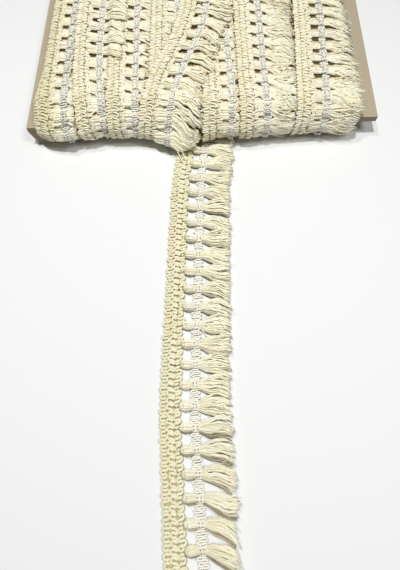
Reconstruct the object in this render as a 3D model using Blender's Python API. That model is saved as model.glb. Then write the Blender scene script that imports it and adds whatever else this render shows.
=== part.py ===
# Tassel fringe trim wound on a flat card, its loose end laid out on the table.
# Metres, +Z up. The origin is on the table under the middle of the card, and
# the loose end runs out towards -Y. Sizes are in millimetres times MM.
import math

import bmesh
import bpy
import numpy as np

MM = 0.001
GAP = 0.3 * MM

# The trim: heading, open row, chain, then free tassels, measured from the
# middle of the chain, the heading on the minus side.
HEADING_EDGE = -19.0 * MM
HEADING_INNER = -7.2 * MM
CHAIN_HALF = 3.0 * MM
TASSEL_END = 19.2 * MM
HEADING_THICK = 2.4 * MM
BAR_THICK = 2.0 * MM
TASSEL_PITCH = 10.95 * MM
SCALLOPS_PER_TASSEL = 3
SCALLOP_STAND = 0.6 * MM
OPEN_ROW_MIDDLE = (HEADING_INNER - CHAIN_HALF) / 2
OPEN_ROW_THICK = 0.2 * MM
SLIT_END = 11.0 * MM
SLIT_THICK = 0.7 * MM
TASSEL_THINNING = 0.05

# The card
CARD_WIDTH = 228.6 * MM
CARD_DEPTH = 138.0 * MM
CARD_THICK = 4.0 * MM
# its front edge runs nearer on the left, where a flap of it is bent down
CARD_SLANT = 9.5 * MM
FLAP_WIDTH = 9.4 * MM
FLAP_DROP = 7.6 * MM
FLAP_THICK = 3.4 * MM
FLAP_TAPER = 3.2 * MM
FLAP_LEAN = 0.8 * MM

# The pack of turns around the card, before the relief of its outer turns
PACK_FLOOR = 2.0 * MM
PACK_TOP = 24.5 * MM
PACK_MIDDLE = (PACK_FLOOR + PACK_TOP) / 2
PACK_ROUND = (PACK_TOP - PACK_FLOOR) / 2
PACK_OVERHANG = 4.3 * MM
PACK_STRAIGHT = CARD_DEPTH / 2 + PACK_OVERHANG - PACK_ROUND
OUTER_ROUND = PACK_ROUND + 3.3 * MM
LAYER_SINK = 0.55
UNDERSIDE_PRESS = 1.5
NEAR_STATION = 48.0 * MM
TURN_EASE = 28.0 * MM
REACH_EASE = 10.0 * MM
LEFT_SIDE_HEIGHT = 0.4
RIGHT_SIDE_HEIGHT = 0.7
PACK_LEFT = -104.2 * MM
PACK_RIGHT = 92.0 * MM
FRINGE_REACH = 100.5 * MM
# the slanting turn's loop sags out over the start of the loose end
SAG_REACH = 9.0 * MM
SAG_PLACE = -15.0 * MM
SAG_WIDTH = 14.0 * MM
SAG_TURN = math.radians(118)
SAG_SWEEP = math.radians(32)
SAG_FLOOR = 3.9 * MM
TAIL_CLEAR_HALF = 24.0 * MM
TAIL_CLEAR_DEPTH = 1.5 * MM

# Rows of the pack's grid: along the top, round the front, below, round the back
TOP_ROWS = 22
ROUND_ROWS = 8
UNDER_ROWS = 8

# Where each turn's chain runs across the top of the card, in millimetres from
# the card's middle: at the far edge, the middle, near the front and over the
# front edge. The reach is how far its loop stands out at the front and back.
# They stand in the order in which they lie, the last one uppermost.
TURN_COLUMNS = ("name", "far", "middle", "near", "front", "reach", "reach_back")
STATION_COLUMNS = ("far", "middle", "near", "front")
TURNS = (
    ("first", -90.0, -89.5, -89.0, -87.4, 7.0, 2.0),
    ("second", -70.5, -70.0, -67.6, -62.3, 4.5, 3.5),
    ("third", -46.5, -46.2, -44.9, -43.9, 4.5, 1.0),
    ("hidden", -18.0, -17.5, -17.0, -13.0, 5.5, 2.0),
    ("fifth", 13.0, 14.5, 18.0, 18.2, 5.5, 3.0),
    ("sixth", 38.1, 38.8, 39.5, 41.3, 3.5, 1.5),
    ("seventh", 82.6, 81.7, 79.8, 78.4, 0.5, 2.5),
    ("slanting", 6.8, 1.3, -14.6, -22.8, 5.0, 3.0),
)
# The turns whose chains the grid's columns follow, and how many columns lie
# between each one's open row and the chain before it
COLUMN_TURNS = (("first", 4), ("second", 3), ("third", 5), ("slanting", 7),
                ("fifth", 5), ("sixth", 3), ("seventh", 8))
LAST_COLUMNS = 3

# The loose end: distance out from the front of the card's middle line, the
# chain's place, how far the tassel tips lean to the near side and how much
# wider than its root a tassel spreads
TAIL_COLUMNS = ("y", "chain", "lean", "spread")
TAIL = (
    (-82.0, 2.0, 1.0, 0.50),
    (-90.0, 0.0, 3.5, 0.50),
    (-128.0, -2.4, 4.5, 0.45),
    (-193.0, -3.6, 5.5, 0.40),
    (-226.0, -4.4, 4.5, 0.25),
    (-248.0, -5.6, 1.0, 0.45),
    (-273.0, -3.6, 3.5, 0.20),
    (-300.0, -2.2, 8.0, 0.05),
    (-332.0, 0.4, 9.5, 0.05),
)
TAIL_EASE = 34.0 * MM
TAIL_START = -80.3 * MM
TAIL_TASSELS = 23
FIRST_TASSEL = -85.5 * MM
TAIL_END = FIRST_TASSEL - (TAIL_TASSELS - 0.5) * TASSEL_PITCH
LOCK_EDGES = np.array((-3.2, -1.3, -0.9, 0.9, 1.3, 3.2)) * MM
LOCK_STATIONS = np.array((7.5, 13.0)) * MM
LOCK_THICK = 2.6 * MM
TIP_THICK = 1.2 * MM
TASSEL_HALF = 3.4 * MM
BAR_TOP = 3.2 * MM
CHAIN_THICK = 2.3 * MM
# lines along the loose end's heading: place across, thickness there, and how
# much more or less it is at each loop
HEADING_LINES = ("across", "thick", "loop")
HEADING = (
    (-19.0, 0.8, 0.0),
    (-17.8, 2.5, 0.2),
    (-15.2, 2.9, -0.3),
    (-13.0, 2.3, 0.3),
    (-10.9, 2.9, -0.3),
    (-8.6, 2.7, 0.2),
    (-7.5, 1.2, 0.0),
)
HEADING_SCALLOP = 0.7 * MM

# The last turn's tassel ends, which droop past the pack over the card
EDGE_TASSELS = 12
EDGE_STRIP = 1.6 * MM
EDGE_BEND = 4.4 * MM
EDGE_RISE = 1.4 * MM
EDGE_DROOP = 5.0 * MM
EDGE_THICK = 3.4 * MM
EDGE_TIP_THICK = 1.5 * MM
EDGE_SPREAD = 0.35
EDGE_LEAN = 1.5 * MM


def column(table, names, wanted):
    # one named column of a table as an array
    place = names.index(wanted)
    return np.array([row[place] for row in table])


def card_front(x):
    # the card's front edge, which isn't square to its sides
    return -CARD_DEPTH / 2 - CARD_SLANT * (0.5 - x / CARD_WIDTH)


def clear_scene():
    for old in list(bpy.data.objects):
        bpy.data.objects.remove(old, do_unlink=True)


def material(name, colour, roughness):
    made = bpy.data.materials.new(name)
    made.use_nodes = True
    shader = made.node_tree.nodes["Principled BSDF"]
    shader.inputs["Base Color"].default_value = (*colour, 1.0)
    shader.inputs["Roughness"].default_value = roughness
    shader.inputs["Metallic"].default_value = 0.0
    return made


def add_object(name, verts, faces, finish, smooth=True):
    mesh = bpy.data.meshes.new(name)
    mesh.from_pydata([tuple(v) for v in verts], [], faces)
    shape = bmesh.new()
    shape.from_mesh(mesh)
    bmesh.ops.remove_doubles(shape, verts=shape.verts, dist=0.00001)
    bmesh.ops.recalc_face_normals(shape, faces=shape.faces)
    bmesh.ops.triangulate(shape, faces=shape.faces)
    shape.to_mesh(mesh)
    shape.free()
    mesh.materials.append(finish)
    if smooth:
        mesh.shade_smooth()
        mesh.set_sharp_from_angle(angle=math.radians(40))
    made = bpy.data.objects.new(name, mesh)
    bpy.context.collection.objects.link(made)
    return made


def eased(place, stations, values, width):
    # straight steps between stations, averaged over a width to round them off
    shares = np.linspace(-width / 2, width / 2, 5)
    return sum(np.interp(place + share, stations, values) for share in shares) / len(shares)


def chain_track(values, along):
    # a turn's chain place along the top of the pack, from its four stations
    stations = (0.0, PACK_STRAIGHT, PACK_STRAIGHT + NEAR_STATION,
                2 * PACK_STRAIGHT + OUTER_ROUND * math.pi / 2)
    return eased(along, stations, values, TURN_EASE)


def ring_rows():
    # the rows round the pack: base point, outward direction, where along the
    # top the row lies, how much of the front and back reach it takes and how
    # much of the sagging loop
    rows = []
    for i in range(TOP_ROWS):
        t = i / TOP_ROWS
        y = PACK_STRAIGHT * (1 - 2 * t)
        rows.append((y, PACK_TOP, 0.0, 1.0, t * 2 * PACK_STRAIGHT, 0.0, 0.0, 0.0))
    for i in range(ROUND_ROWS):
        turn = math.pi * i / ROUND_ROWS
        ny, nz = -math.sin(turn), math.cos(turn)
        along = 2 * PACK_STRAIGHT + OUTER_ROUND * min(turn, math.pi / 2)
        sag = math.exp(-((turn - SAG_TURN) / SAG_SWEEP) ** 2)
        rows.append((-PACK_STRAIGHT + PACK_ROUND * ny, PACK_MIDDLE + PACK_ROUND * nz,
                     ny, nz, along, math.sin(turn) ** 1.5, 0.0, sag))
    for i in range(UNDER_ROWS):
        t = i / UNDER_ROWS
        y = -PACK_STRAIGHT * (1 - 2 * t)
        rows.append((y, PACK_FLOOR, 0.0, -1.0, -t, 0.0, 0.0, 0.0))
    for i in range(ROUND_ROWS):
        turn = math.pi * i / ROUND_ROWS
        ny, nz = math.sin(turn), -math.cos(turn)
        rows.append((PACK_STRAIGHT + PACK_ROUND * ny, PACK_MIDDLE + PACK_ROUND * nz,
                     ny, nz, 0.0, 0.0, math.sin(turn) ** 1.5, 0.0))
    return np.array(rows)


def turn_chains(rows):
    # each turn's chain place on every row; below it runs straight back
    along = rows[:, 4]
    under = along < 0
    stations = np.stack([column(TURNS, TURN_COLUMNS, name) for name in STATION_COLUMNS], axis=1)
    chains = {}
    for name, values in zip(column(TURNS, TURN_COLUMNS, "name"), stations * MM):
        top = chain_track(values, np.maximum(along, 0.0))
        back, front = chain_track(values, np.array((0.0, CARD_DEPTH * 2)))
        chains[str(name)] = np.where(under, front + (back - front) * -along, top)
    return chains


def trim_relief(across, bar_row, under, bent):
    # the trim's thickness across its width, with the open row between bars
    # and the slits between tassels let down; below and round the edges the
    # tassels lie pressed together
    open_edge = (HEADING_INNER + OPEN_ROW_MIDDLE) / 2
    heading = (across >= HEADING_EDGE - SCALLOP_STAND) & (across < open_edge)
    relief = np.where(heading, HEADING_THICK, 0.0)
    open_row = (across >= open_edge) & (across < -CHAIN_HALF)
    relief = np.where(open_row, np.where(bar_row & ~under, BAR_THICK, OPEN_ROW_THICK), relief)
    relief = np.where(np.abs(across) <= CHAIN_HALF, HEADING_THICK, relief)
    tassel = (across > CHAIN_HALF) & (across <= TASSEL_END)
    body = HEADING_THICK - TASSEL_THINNING * (across - CHAIN_HALF)
    slit = (across < SLIT_END) & ~bar_row & ~bent
    return np.where(tassel, np.where(slit, SLIT_THICK, body), relief)


def grid_columns(chains):
    # column places on every row, denser at the open rows, following the turns
    edge = np.maximum(chains["first"] + HEADING_EDGE, PACK_LEFT)
    columns = [edge]
    start = edge
    for name, count in COLUMN_TURNS:
        chain = chains[name]
        if name == "fifth":
            chain = np.maximum(chain, chains["slanting"] + TASSEL_END)
        inner = chain + HEADING_INNER
        for i in range(1, count + 1):
            columns.append(start + (inner - start) * i / count)
        columns.append(chain + OPEN_ROW_MIDDLE)
        columns.append(chain - CHAIN_HALF)
        columns.append(chain + CHAIN_HALF)
        start = chain + CHAIN_HALF
    for i in range(1, LAST_COLUMNS + 1):
        columns.append(start + (PACK_RIGHT - start) * i / LAST_COLUMNS)
    return np.stack(columns, axis=1)


def pack_surface():
    # outer surface of the wound pack as rows by columns of points
    rows = ring_rows()
    chains = turn_chains(rows)
    x = grid_columns(chains)
    bar_row = (np.arange(len(rows)) % 2 == 0)[:, None] & np.ones_like(x, dtype=bool)
    under = (rows[:, 4] < 0)[:, None] & np.ones_like(x, dtype=bool)
    bent = (rows[:, 3] < 1)[:, None] & np.ones_like(x, dtype=bool)
    height = np.zeros_like(x)
    for chain in chains.values():
        across = x - chain[:, None]
        covered = (across >= HEADING_EDGE - SCALLOP_STAND) & (across <= TASSEL_END)
        laid = LAYER_SINK * height + trim_relief(across, bar_row, under, bent)
        height = np.where(covered, laid, height)
    height[:, 0] *= LEFT_SIDE_HEIGHT
    height[:, -1] *= RIGHT_SIDE_HEIGHT
    front_x = column(TURNS, TURN_COLUMNS, "front") * MM
    order = np.argsort(front_x)
    reaches = column(TURNS, TURN_COLUMNS, "reach")[order] * MM
    reaches_back = column(TURNS, TURN_COLUMNS, "reach_back")[order] * MM
    reach = eased(x, front_x[order], reaches, REACH_EASE)
    reach_back = eased(x, front_x[order], reaches_back, REACH_EASE)
    y = rows[:, 0, None] + rows[:, 2, None] * height
    y += reach_back * rows[:, 6, None] - reach * rows[:, 5, None]
    y -= SAG_REACH * rows[:, 7, None] * np.exp(-((x - SAG_PLACE) / SAG_WIDTH) ** 2)
    z = rows[:, 1, None] + rows[:, 3, None] * height
    over_tail = (y < TAIL_START + TAIL_CLEAR_DEPTH) & (np.abs(x) < TAIL_CLEAR_HALF)
    z = np.where(over_tail, np.maximum(z, SAG_FLOOR), z)
    z = np.where(under, PACK_FLOOR - UNDERSIDE_PRESS * height, z)
    z = np.maximum(z, 0.0)
    return rows, np.stack((x, y, z), axis=2)


def slot_point(row, side_x):
    # the point on the card's slot that a row of the pack looks at
    half_thick = CARD_THICK / 2 + GAP
    front, back = card_front(side_x) - GAP, CARD_DEPTH / 2 + GAP
    y = row[0]
    if abs(row[3]) < 0.99:
        y = front if row[2] < 0 else back
    z = math.copysign(half_thick, row[3]) if abs(row[3]) > 0.1 else 0.0
    return (side_x, y, PACK_MIDDLE + z)


def wound_trim(finish):
    rows, points = pack_surface()
    count, across = points.shape[:2]
    verts = [tuple(p) for p in points.reshape(-1, 3)]
    faces = []
    for i in range(count):
        k = (i + 1) % count
        for j in range(across - 1):
            faces.append((i * across + j, k * across + j, k * across + j + 1, i * across + j + 1))
    for edge, slot_start in ((0, len(verts)), (across - 1, len(verts) + count)):
        for row, point in zip(rows, points[:, edge]):
            verts.append(slot_point(row, point[0]))
        for i in range(count):
            k = (i + 1) % count
            faces.append((i * across + edge, slot_start + i, slot_start + k, k * across + edge))
    left = count * across
    right = left + count
    for i in range(count):
        k = (i + 1) % count
        faces.append((left + i, right + i, right + k, left + k))
    return add_object("wound_trim", verts, faces, finish)


def card(finish):
    # one sheet of card, and the flap bent down from its near left corner
    half = CARD_WIDTH / 2
    cuts = np.array((-half, -half + FLAP_WIDTH, half))
    front = card_front(cuts)
    depths = np.stack((front, front + FLAP_THICK, np.full(3, CARD_DEPTH / 2)))
    low = PACK_MIDDLE - CARD_THICK / 2
    flat = [(x, depths[j, i]) for j in range(3) for i, x in enumerate(cuts)]
    verts = [(x, y, low) for x, y in flat] + [(x, y, low + CARD_THICK) for x, y in flat]
    faces = []
    for j in range(2):
        for i in range(2):
            a = 3 * j + i
            if (i, j) != (0, 0):
                faces.append((a, a + 3, a + 4, a + 1))
            faces.append((a + 9, a + 10, a + 13, a + 12))
    rim = (0, 1, 2, 5, 8, 7, 6, 3)
    for a, b in zip(rim, rim[1:] + rim[:1]):
        faces.append((a, b, b + 9, a + 9))
    flap = (0, 1, 4, 3)
    for corner in flap:
        x, y, _ = verts[corner]
        inward = FLAP_TAPER if x < cuts[1] else 0.0
        verts.append((x + inward, y - FLAP_LEAN, low - FLAP_DROP))
    tip = len(verts) - len(flap)
    for a, b in ((0, 1), (1, 2), (2, 3), (3, 0)):
        faces.append((flap[a], flap[b], tip + b, tip + a))
    faces.append(tuple(range(tip, tip + len(flap))))
    return add_object("card", verts, faces, finish, smooth=False)


def masked_slab(name, lower, upper, mask, finish):
    # a closed slab between two grids of points, open where the mask is off
    rows, across = lower.shape[:2]
    verts = np.concatenate((lower.reshape(-1, 3), upper.reshape(-1, 3)))
    shift = rows * across
    faces = []

    def solid(i, j):
        return 0 <= i < rows - 1 and 0 <= j < across - 1 and mask[i, j]

    for i in range(rows - 1):
        for j in range(across - 1):
            if not mask[i, j]:
                continue
            a, b = i * across + j, (i + 1) * across + j
            faces.append((a, b, b + 1, a + 1))
            faces.append((a + shift, a + 1 + shift, b + 1 + shift, b + shift))
            walls = ((solid(i - 1, j), a, a + 1), (solid(i, j + 1), a + 1, b + 1),
                     (solid(i + 1, j), b + 1, b), (solid(i, j - 1), b, a))
            for joined, p, q in walls:
                if not joined:
                    faces.append((p, q, q + shift, p + shift))
    used = sorted({corner for face in faces for corner in face})
    renumber = {old: new for new, old in enumerate(used)}
    faces = [tuple(renumber[corner] for corner in face) for face in faces]
    return add_object(name, verts[used], faces, finish)


def tail_value(wanted, y):
    stations = column(TAIL, TAIL_COLUMNS, "y") * MM
    values = column(TAIL, TAIL_COLUMNS, wanted)
    return eased(y, stations[::-1], values[::-1], TAIL_EASE)


def tail_chain(y):
    return tail_value("chain", y) * MM


def tail_heading(finish):
    # the braid of the loose end: three rows of loops, scalloped outside
    per_scallop = 2
    length = TAIL_START - TAIL_END
    count = per_scallop * round(length * SCALLOPS_PER_TASSEL / TASSEL_PITCH)
    y = np.linspace(TAIL_START, TAIL_END, count + 1)
    across = column(HEADING, HEADING_LINES, "across") * MM
    crest = column(HEADING, HEADING_LINES, "thick") * MM
    rise = column(HEADING, HEADING_LINES, "loop") * MM
    bump = np.where(np.arange(count + 1) % per_scallop == 0, 0.0, 1.0)[:, None]
    scallop = np.zeros((count + 1, len(across)))
    scallop[:, :2] = -HEADING_SCALLOP * bump
    x = tail_chain(y)[:, None] + across + scallop
    z = crest + rise * (2 * bump - 1)
    yy = np.repeat(y[:, None], len(across), axis=1)
    upper = np.stack((x, yy, z), axis=2)
    lower = np.stack((x, yy, np.zeros_like(x)), axis=2)
    mask = np.ones((count, len(across) - 1), dtype=bool)
    return masked_slab("tail_heading", lower, upper, mask, finish)


def tassel_rows(first, count, pitch_y):
    # stations along a fringe: the locks' edges of each tassel, with one more
    # between tassels, and each station's tassel middle
    offsets = np.append(LOCK_EDGES, TASSEL_PITCH / 2)
    middles = first + pitch_y * np.arange(count)
    sign = math.copysign(1.0, pitch_y)
    y = (middles[:, None] + sign * offsets).reshape(-1)
    centre = np.repeat(middles, len(offsets))
    return y, centre, np.tile(offsets, count)


def lock_mask(offsets):
    # which cells between stations belong to a lock and which to a whole tassel
    start = np.round(offsets[:-1] / MM, 2)
    locks = np.isin(start, np.round(LOCK_EDGES[[0, 2, 4]] / MM, 2))
    tassel = (start >= round(LOCK_EDGES[0] / MM, 2)) & (start < round(LOCK_EDGES[-1] / MM, 2))
    return locks, tassel


def tail_fringe(finish):
    # the chain of the loose end with its bars on one side and locks on the other
    y, centre, offsets = tassel_rows(FIRST_TASSEL, TAIL_TASSELS, -TASSEL_PITCH)
    locks, tassel = lock_mask(offsets)
    across = np.array((HEADING_INNER, -CHAIN_HALF, CHAIN_HALF, *LOCK_STATIONS, TASSEL_END))
    out = np.clip((across - CHAIN_HALF) / (TASSEL_END - CHAIN_HALF), 0.0, 1.0)
    spread = 1 + tail_value("spread", centre)[:, None] * out
    lean = tail_value("lean", centre)[:, None] * MM * out ** 1.6
    yy = centre[:, None] + (y - centre)[:, None] * spread - lean
    yy[:, :3] = y[:, None]
    x = tail_chain(centre)[:, None] + across
    x[:, :3] = tail_chain(y)[:, None] + across[:3]
    round_off = 1 - 0.5 * (offsets / TASSEL_HALF) ** 2
    inside = np.abs(offsets) < TASSEL_HALF
    z = np.empty_like(x)
    z[:, 0] = np.where(inside, BAR_TOP * round_off, CHAIN_THICK)
    z[:, 1] = np.where(inside, BAR_TOP * round_off * 0.9, CHAIN_THICK)
    lock_height = LOCK_THICK + (TIP_THICK - LOCK_THICK) * out[None, :]
    z[:, 2:] = np.where(inside[:, None], lock_height[:, 2:] * round_off[:, None], CHAIN_THICK)
    upper = np.stack((x, yy, z), axis=2)
    lower = np.stack((x, yy, np.zeros_like(x)), axis=2)
    mask = np.zeros((len(y) - 1, len(across) - 1), dtype=bool)
    mask[:, 0] = tassel
    mask[:, 1] = True
    mask[:, 2:] = locks[:, None]
    return masked_slab("tail_fringe", lower, upper, mask, finish)


def edge_fringe(finish):
    # tassel ends of the last turn, drooping past the pack over the card
    first = PACK_STRAIGHT - TASSEL_PITCH / 2
    y, centre, offsets = tassel_rows(first, EDGE_TASSELS, -TASSEL_PITCH)
    locks, _ = lock_mask(offsets)
    root = PACK_RIGHT + GAP
    across = np.array((root, root + EDGE_STRIP, root + EDGE_BEND, FRINGE_REACH))
    out = np.clip((across - across[1]) / (across[-1] - across[1]), 0.0, 1.0)
    x = np.broadcast_to(across, (len(y), len(across)))
    yy = centre[:, None] + (y - centre)[:, None] * (1 + EDGE_SPREAD * out) - EDGE_LEAN * out
    top = PACK_TOP + EDGE_RISE - EDGE_DROOP * out ** 1.5
    thick = EDGE_THICK + (EDGE_TIP_THICK - EDGE_THICK) * out
    upper = np.stack((x, yy, np.broadcast_to(top, x.shape)), axis=2)
    lower = np.stack((x, yy, np.broadcast_to(top - thick, x.shape)), axis=2)
    mask = np.zeros((len(y) - 1, len(across) - 1), dtype=bool)
    mask[:, 0] = True
    mask[:, 1:] = locks[:, None]
    return masked_slab("edge_fringe", lower, upper, mask, finish)


def main():
    clear_scene()
    cotton = material("cream cotton gimp", (0.76, 0.70, 0.50), 0.85)
    tassel = material("cream cotton tassel yarn", (0.74, 0.70, 0.55), 0.88)
    kraft = material("kraft card", (0.42, 0.34, 0.22), 0.80)
    card(kraft)
    wound_trim(cotton)
    edge_fringe(tassel)
    tail_heading(cotton)
    tail_fringe(tassel)


main()
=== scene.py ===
import math

import bpy
import numpy as np
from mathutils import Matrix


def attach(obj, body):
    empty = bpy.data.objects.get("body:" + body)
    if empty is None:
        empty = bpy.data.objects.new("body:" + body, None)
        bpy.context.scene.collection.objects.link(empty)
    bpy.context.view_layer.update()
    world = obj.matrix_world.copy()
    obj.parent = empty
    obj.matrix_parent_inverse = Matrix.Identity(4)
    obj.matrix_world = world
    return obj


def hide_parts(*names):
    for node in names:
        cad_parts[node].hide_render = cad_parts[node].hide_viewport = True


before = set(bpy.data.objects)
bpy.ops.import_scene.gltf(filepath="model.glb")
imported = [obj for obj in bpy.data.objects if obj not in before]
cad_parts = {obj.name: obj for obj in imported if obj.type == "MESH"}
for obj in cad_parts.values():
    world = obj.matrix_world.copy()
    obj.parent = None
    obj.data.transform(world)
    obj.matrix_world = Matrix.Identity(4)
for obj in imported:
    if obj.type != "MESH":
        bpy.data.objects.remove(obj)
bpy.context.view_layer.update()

# everything below is worked out in millimetres and put into the meshes in metres
mm = 0.001
rng = np.random.default_rng(38)
print("frame loaded:", sorted(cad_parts))

# the trim across its width, measured from the middle of the stitched chain
trim = {
    "pitch": 10.95,           # from tassel to tassel
    "edge": -19.0,            # outer edge of the heading
    "inner": -7.2,            # inner edge of the heading, where the open row starts
    "chain": 3.0,             # half the chain's width
    "tip": 19.2,              # where the tassels are cut
    "thick": 2.4,
}

# the pack of turns round the card
pack = {
    "floor": 2.0, "top": 24.5, "round": 11.25, "straight": 62.05, "outerRound": 14.55,
    "left": -104.2, "right": 92.0,
    "units": 31,              # tassels in one whole turn
    "sink": 0.55,             # how much of a lower turn's height shows through an upper one
    "pressed": 0.45,          # how much flatter a turn is where another covers it
    "nearStation": 48.0, "ease": 28.0, "reachEase": 10.0,
    "hiddenFrom": 0.985,      # share of cover from which a yarn is left out
    # the left border bends down over the side and spreads at the near corner
    "bend": -101.5, "bendRound": 2.6, "cornerOut": 2.2, "cornerEases": ((96, 132), (150, 175)),
    "cornerBulge": 2.9, "cornerPlace": -92.0, "cornerWidth": 11.0,
    # the cut ends bend down on the right, less towards the front
    "droop": 4.0, "droopPlace": 93.6, "droopWidth": 6.9, "droopEases": ((50, 110), (150, 175)),
    # the loop that sags over the loose end, and the room it leaves for that
    "sagReach": 9.0, "sagPlace": -15.0, "sagWidth": 14.0, "sagTurn": 118.0, "sagSweep": 32.0,
    "clear": 3.3, "clearEases": ((75, 79), (21, 26)),
    # where the open row is drawn shut round the front
    "shutEases": ((104, 128), (168, 178)),
}
flatLength = 2 * pack["straight"]
frontArc = pack["outerRound"] * math.pi
around = 2 * (flatLength + frontArc)
packPitch = around / pack["units"]
packMiddle = (pack["floor"] + pack["top"]) / 2

# chain: the turn's chain across the pack at four stations from the far edge to the front;
# reach: how far its loop stands out at the front and back; hole: the place of its holes
# along the turn; lean: of the tassels, towards the front; longer: how much longer they
# are at the far edge and at the front; shut: how far the bars spread over the holes;
# inward: how far the heading comes over the open row; outward: how far it spreads the
# other way at the front
# tone: how much darker a turn's heading is coloured, painted shade, used on the first turn
turns = [
    dict(name="first", chain=(-90.0, -89.5, -89.0, -87.4), reach=(7.0, 2.0), hole=9.3, edge=-19.0, lean=2.0,
         shut=0.08, inward=1.7, outward=2.4, tone=0.6),
    dict(name="second", chain=(-70.5, -70.0, -67.6, -62.3), reach=(4.5, 3.5), hole=4.0, edge=-17.4, lean=3.5,
         shut=0.35, inward=1.6, leans=2.0),
    dict(name="third", chain=(-46.5, -45.6, -43.8, -43.2), reach=(4.5, 1.0), hole=1.5, edge=-18.6, lean=3.0,
         shut=0.16, inward=1.2),
    dict(name="hidden", chain=(-18.0, -17.5, -17.0, -13.0), reach=(5.5, 2.0), hole=5.0, edge=-19.0, lean=2.0,
         shut=0.6, inward=1.0),
    dict(name="fifth", chain=(13.0, 14.5, 18.0, 18.2), reach=(5.5, 3.0), hole=7.5, edge=-19.0, lean=2.0,
         shut=0.2, inward=1.2),
    dict(name="sixth", chain=(38.1, 38.8, 39.5, 41.3), reach=(3.5, 1.5), hole=6.3, edge=-18.0, lean=1.6,
         shut=0.12, inward=1.5, longer=(5.0, 1.5), drop=3.0, kind="open"),
    dict(name="seventh", chain=(82.6, 81.2, 78.9, 77.4), reach=(0.5, 2.5), hole=9.9, edge=-19.2, lean=0.6,
         shut=-0.15, inward=0.6, longer=(1.0, 3.4), drop=1.2, ragged=1.1, kind="open"),
    dict(name="slanting", chain=(6.8, 0.7, -16.2, -24.2), reach=(5.0, 3.0), hole=0.7, edge=-20.0, lean=9.0,
         shut=0.05, inward=1.0, leans=2.0, kind="combed"),
]
turnDefaults = {"outward": 0.0, "tone": 0.0, "leans": 1.0, "longer": (0.0, 0.0), "drop": 0.8, "kind": "upper"}
turns = [{**turnDefaults, **turn} for turn in turns]


def smoothStep(value, low, high):
    # 0 below low, 1 above high, and a cubic ease between
    share = np.clip((value - low) / (high - low), 0.0, 1.0)
    return share * share * (3 - 2 * share)


def plateau(value, rise, fall):
    # 1 between the rise and the fall, 0 outside them
    return smoothStep(value, *rise) * (1 - smoothStep(value, *fall))


def bell(value, middle, width):
    # e to the power of minus the square of the distance over the width
    return np.exp(-((value - middle) / width) ** 2)


def eased(place, stations, values, width):
    # straight steps between stations, averaged over a width to round them off
    shares = np.linspace(-width / 2, width / 2, 5)
    return sum(np.interp(place + share, stations, values) for share in shares) / len(shares)


def wander(shape, size):
    # slow random drift along each row: a sum of three sines with random phases
    rows, steps = shape
    t = np.linspace(0, 1, steps)[None, :]
    drift = np.zeros(shape)
    for wave in (1, 2, 3):
        phase = rng.uniform(0, 2 * np.pi, (rows, 1))
        drift += rng.normal(0, 1 / wave, (rows, 1)) * np.sin(wave * np.pi * t + phase)
    return size * drift


def turnChain(turn, s):
    # chain place across the pack: eased over the top and front, straight back below
    stations = (0, pack["straight"], pack["straight"] + pack["nearStation"], flatLength + frontArc / 2)
    over = eased(s, stations, turn["chain"], pack["ease"])
    near, far = turn["chain"][3], eased(0.0, stations, turn["chain"], pack["ease"])
    below = near + (far - near) * np.clip((s - flatLength - frontArc) / flatLength, 0, 1)
    return np.where(s < flatLength + frontArc, over, below)


frontOrder = sorted(turns, key=lambda turn: turn["chain"][3])
frontPlaces = [turn["chain"][3] for turn in frontOrder]


def ringPlace(s):
    # the angles turned round the front and round the back, and the place in y between
    front = np.clip((s - flatLength) / pack["outerRound"], 0, np.pi)
    back = np.clip((s - 2 * flatLength - frontArc) / pack["outerRound"], 0, np.pi)
    y = pack["straight"] - np.clip(s, 0, flatLength) + np.clip(s - flatLength - frontArc, 0, flatLength)
    return front, back, y


def packPoint(s, x, h):
    # s goes along the top, round the front, below and round the back; h is measured
    # outwards. The point is the rounded box's point plus h times its outward direction,
    # moved by the loops' reach and by the sagging loop, and eased off the table
    s = np.mod(s, around)
    front, back, y = ringPlace(s)
    outY, outZ = -np.sin(front + back), np.cos(front + back)
    bend = pack["bend"] - pack["cornerOut"] * plateau(s, *pack["cornerEases"])
    bendRound = pack["bendRound"]
    past = np.maximum(bend - x, 0.0)
    curl = np.minimum(past / bendRound, np.pi / 2)
    bentX = bend - (bendRound + h) * np.sin(curl)
    bentH = (bendRound + h) * np.cos(curl) - bendRound - np.maximum(past - bendRound * np.pi / 2, 0.0)
    x, h = np.where(past > 0, bentX, x), np.where(past > 0, bentH, h)
    droop = pack["droop"] * (1 - 0.8 * plateau(s, *pack["droopEases"]))
    h = h - droop * np.clip((x - pack["droopPlace"]) / pack["droopWidth"], 0, 1.3) ** 1.5
    reachFront, reachBack = (eased(x, frontPlaces, reaches, pack["reachEase"])
                             for reaches in zip(*(turn["reach"] for turn in frontOrder)))
    sag = pack["sagReach"] * bell(np.degrees(front), pack["sagTurn"], pack["sagSweep"])
    sag = sag * bell(x, pack["sagPlace"], pack["sagWidth"])
    bulge = pack["cornerBulge"] * bell(x, pack["cornerPlace"], pack["cornerWidth"])
    y = y + outY * (pack["round"] + h) - sag + reachBack * np.sin(back) ** 1.5
    y = y - (reachFront + bulge) * np.sin(front) ** 1.5
    z = packMiddle + outZ * (pack["round"] + h)
    rise, fall = pack["clearEases"]
    clear = pack["clear"] * smoothStep(-y, *rise) * (1 - smoothStep(np.abs(x), *fall))
    low = clear + pack["floor"]
    z = np.where(z < low, clear + pack["floor"] * np.exp(np.minimum(z - low, 0) / 1.5), z)
    point = np.stack(np.broadcast_arrays(x, y, z), axis=-1)
    return point, np.stack(np.broadcast_arrays(0 * y, outY, outZ), axis=-1)


def drawnShut(s):
    # 1 round the front edge, where the bars spread and the open row closes, 0 elsewhere
    return plateau(np.mod(s, around), *pack["shutEases"])


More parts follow.
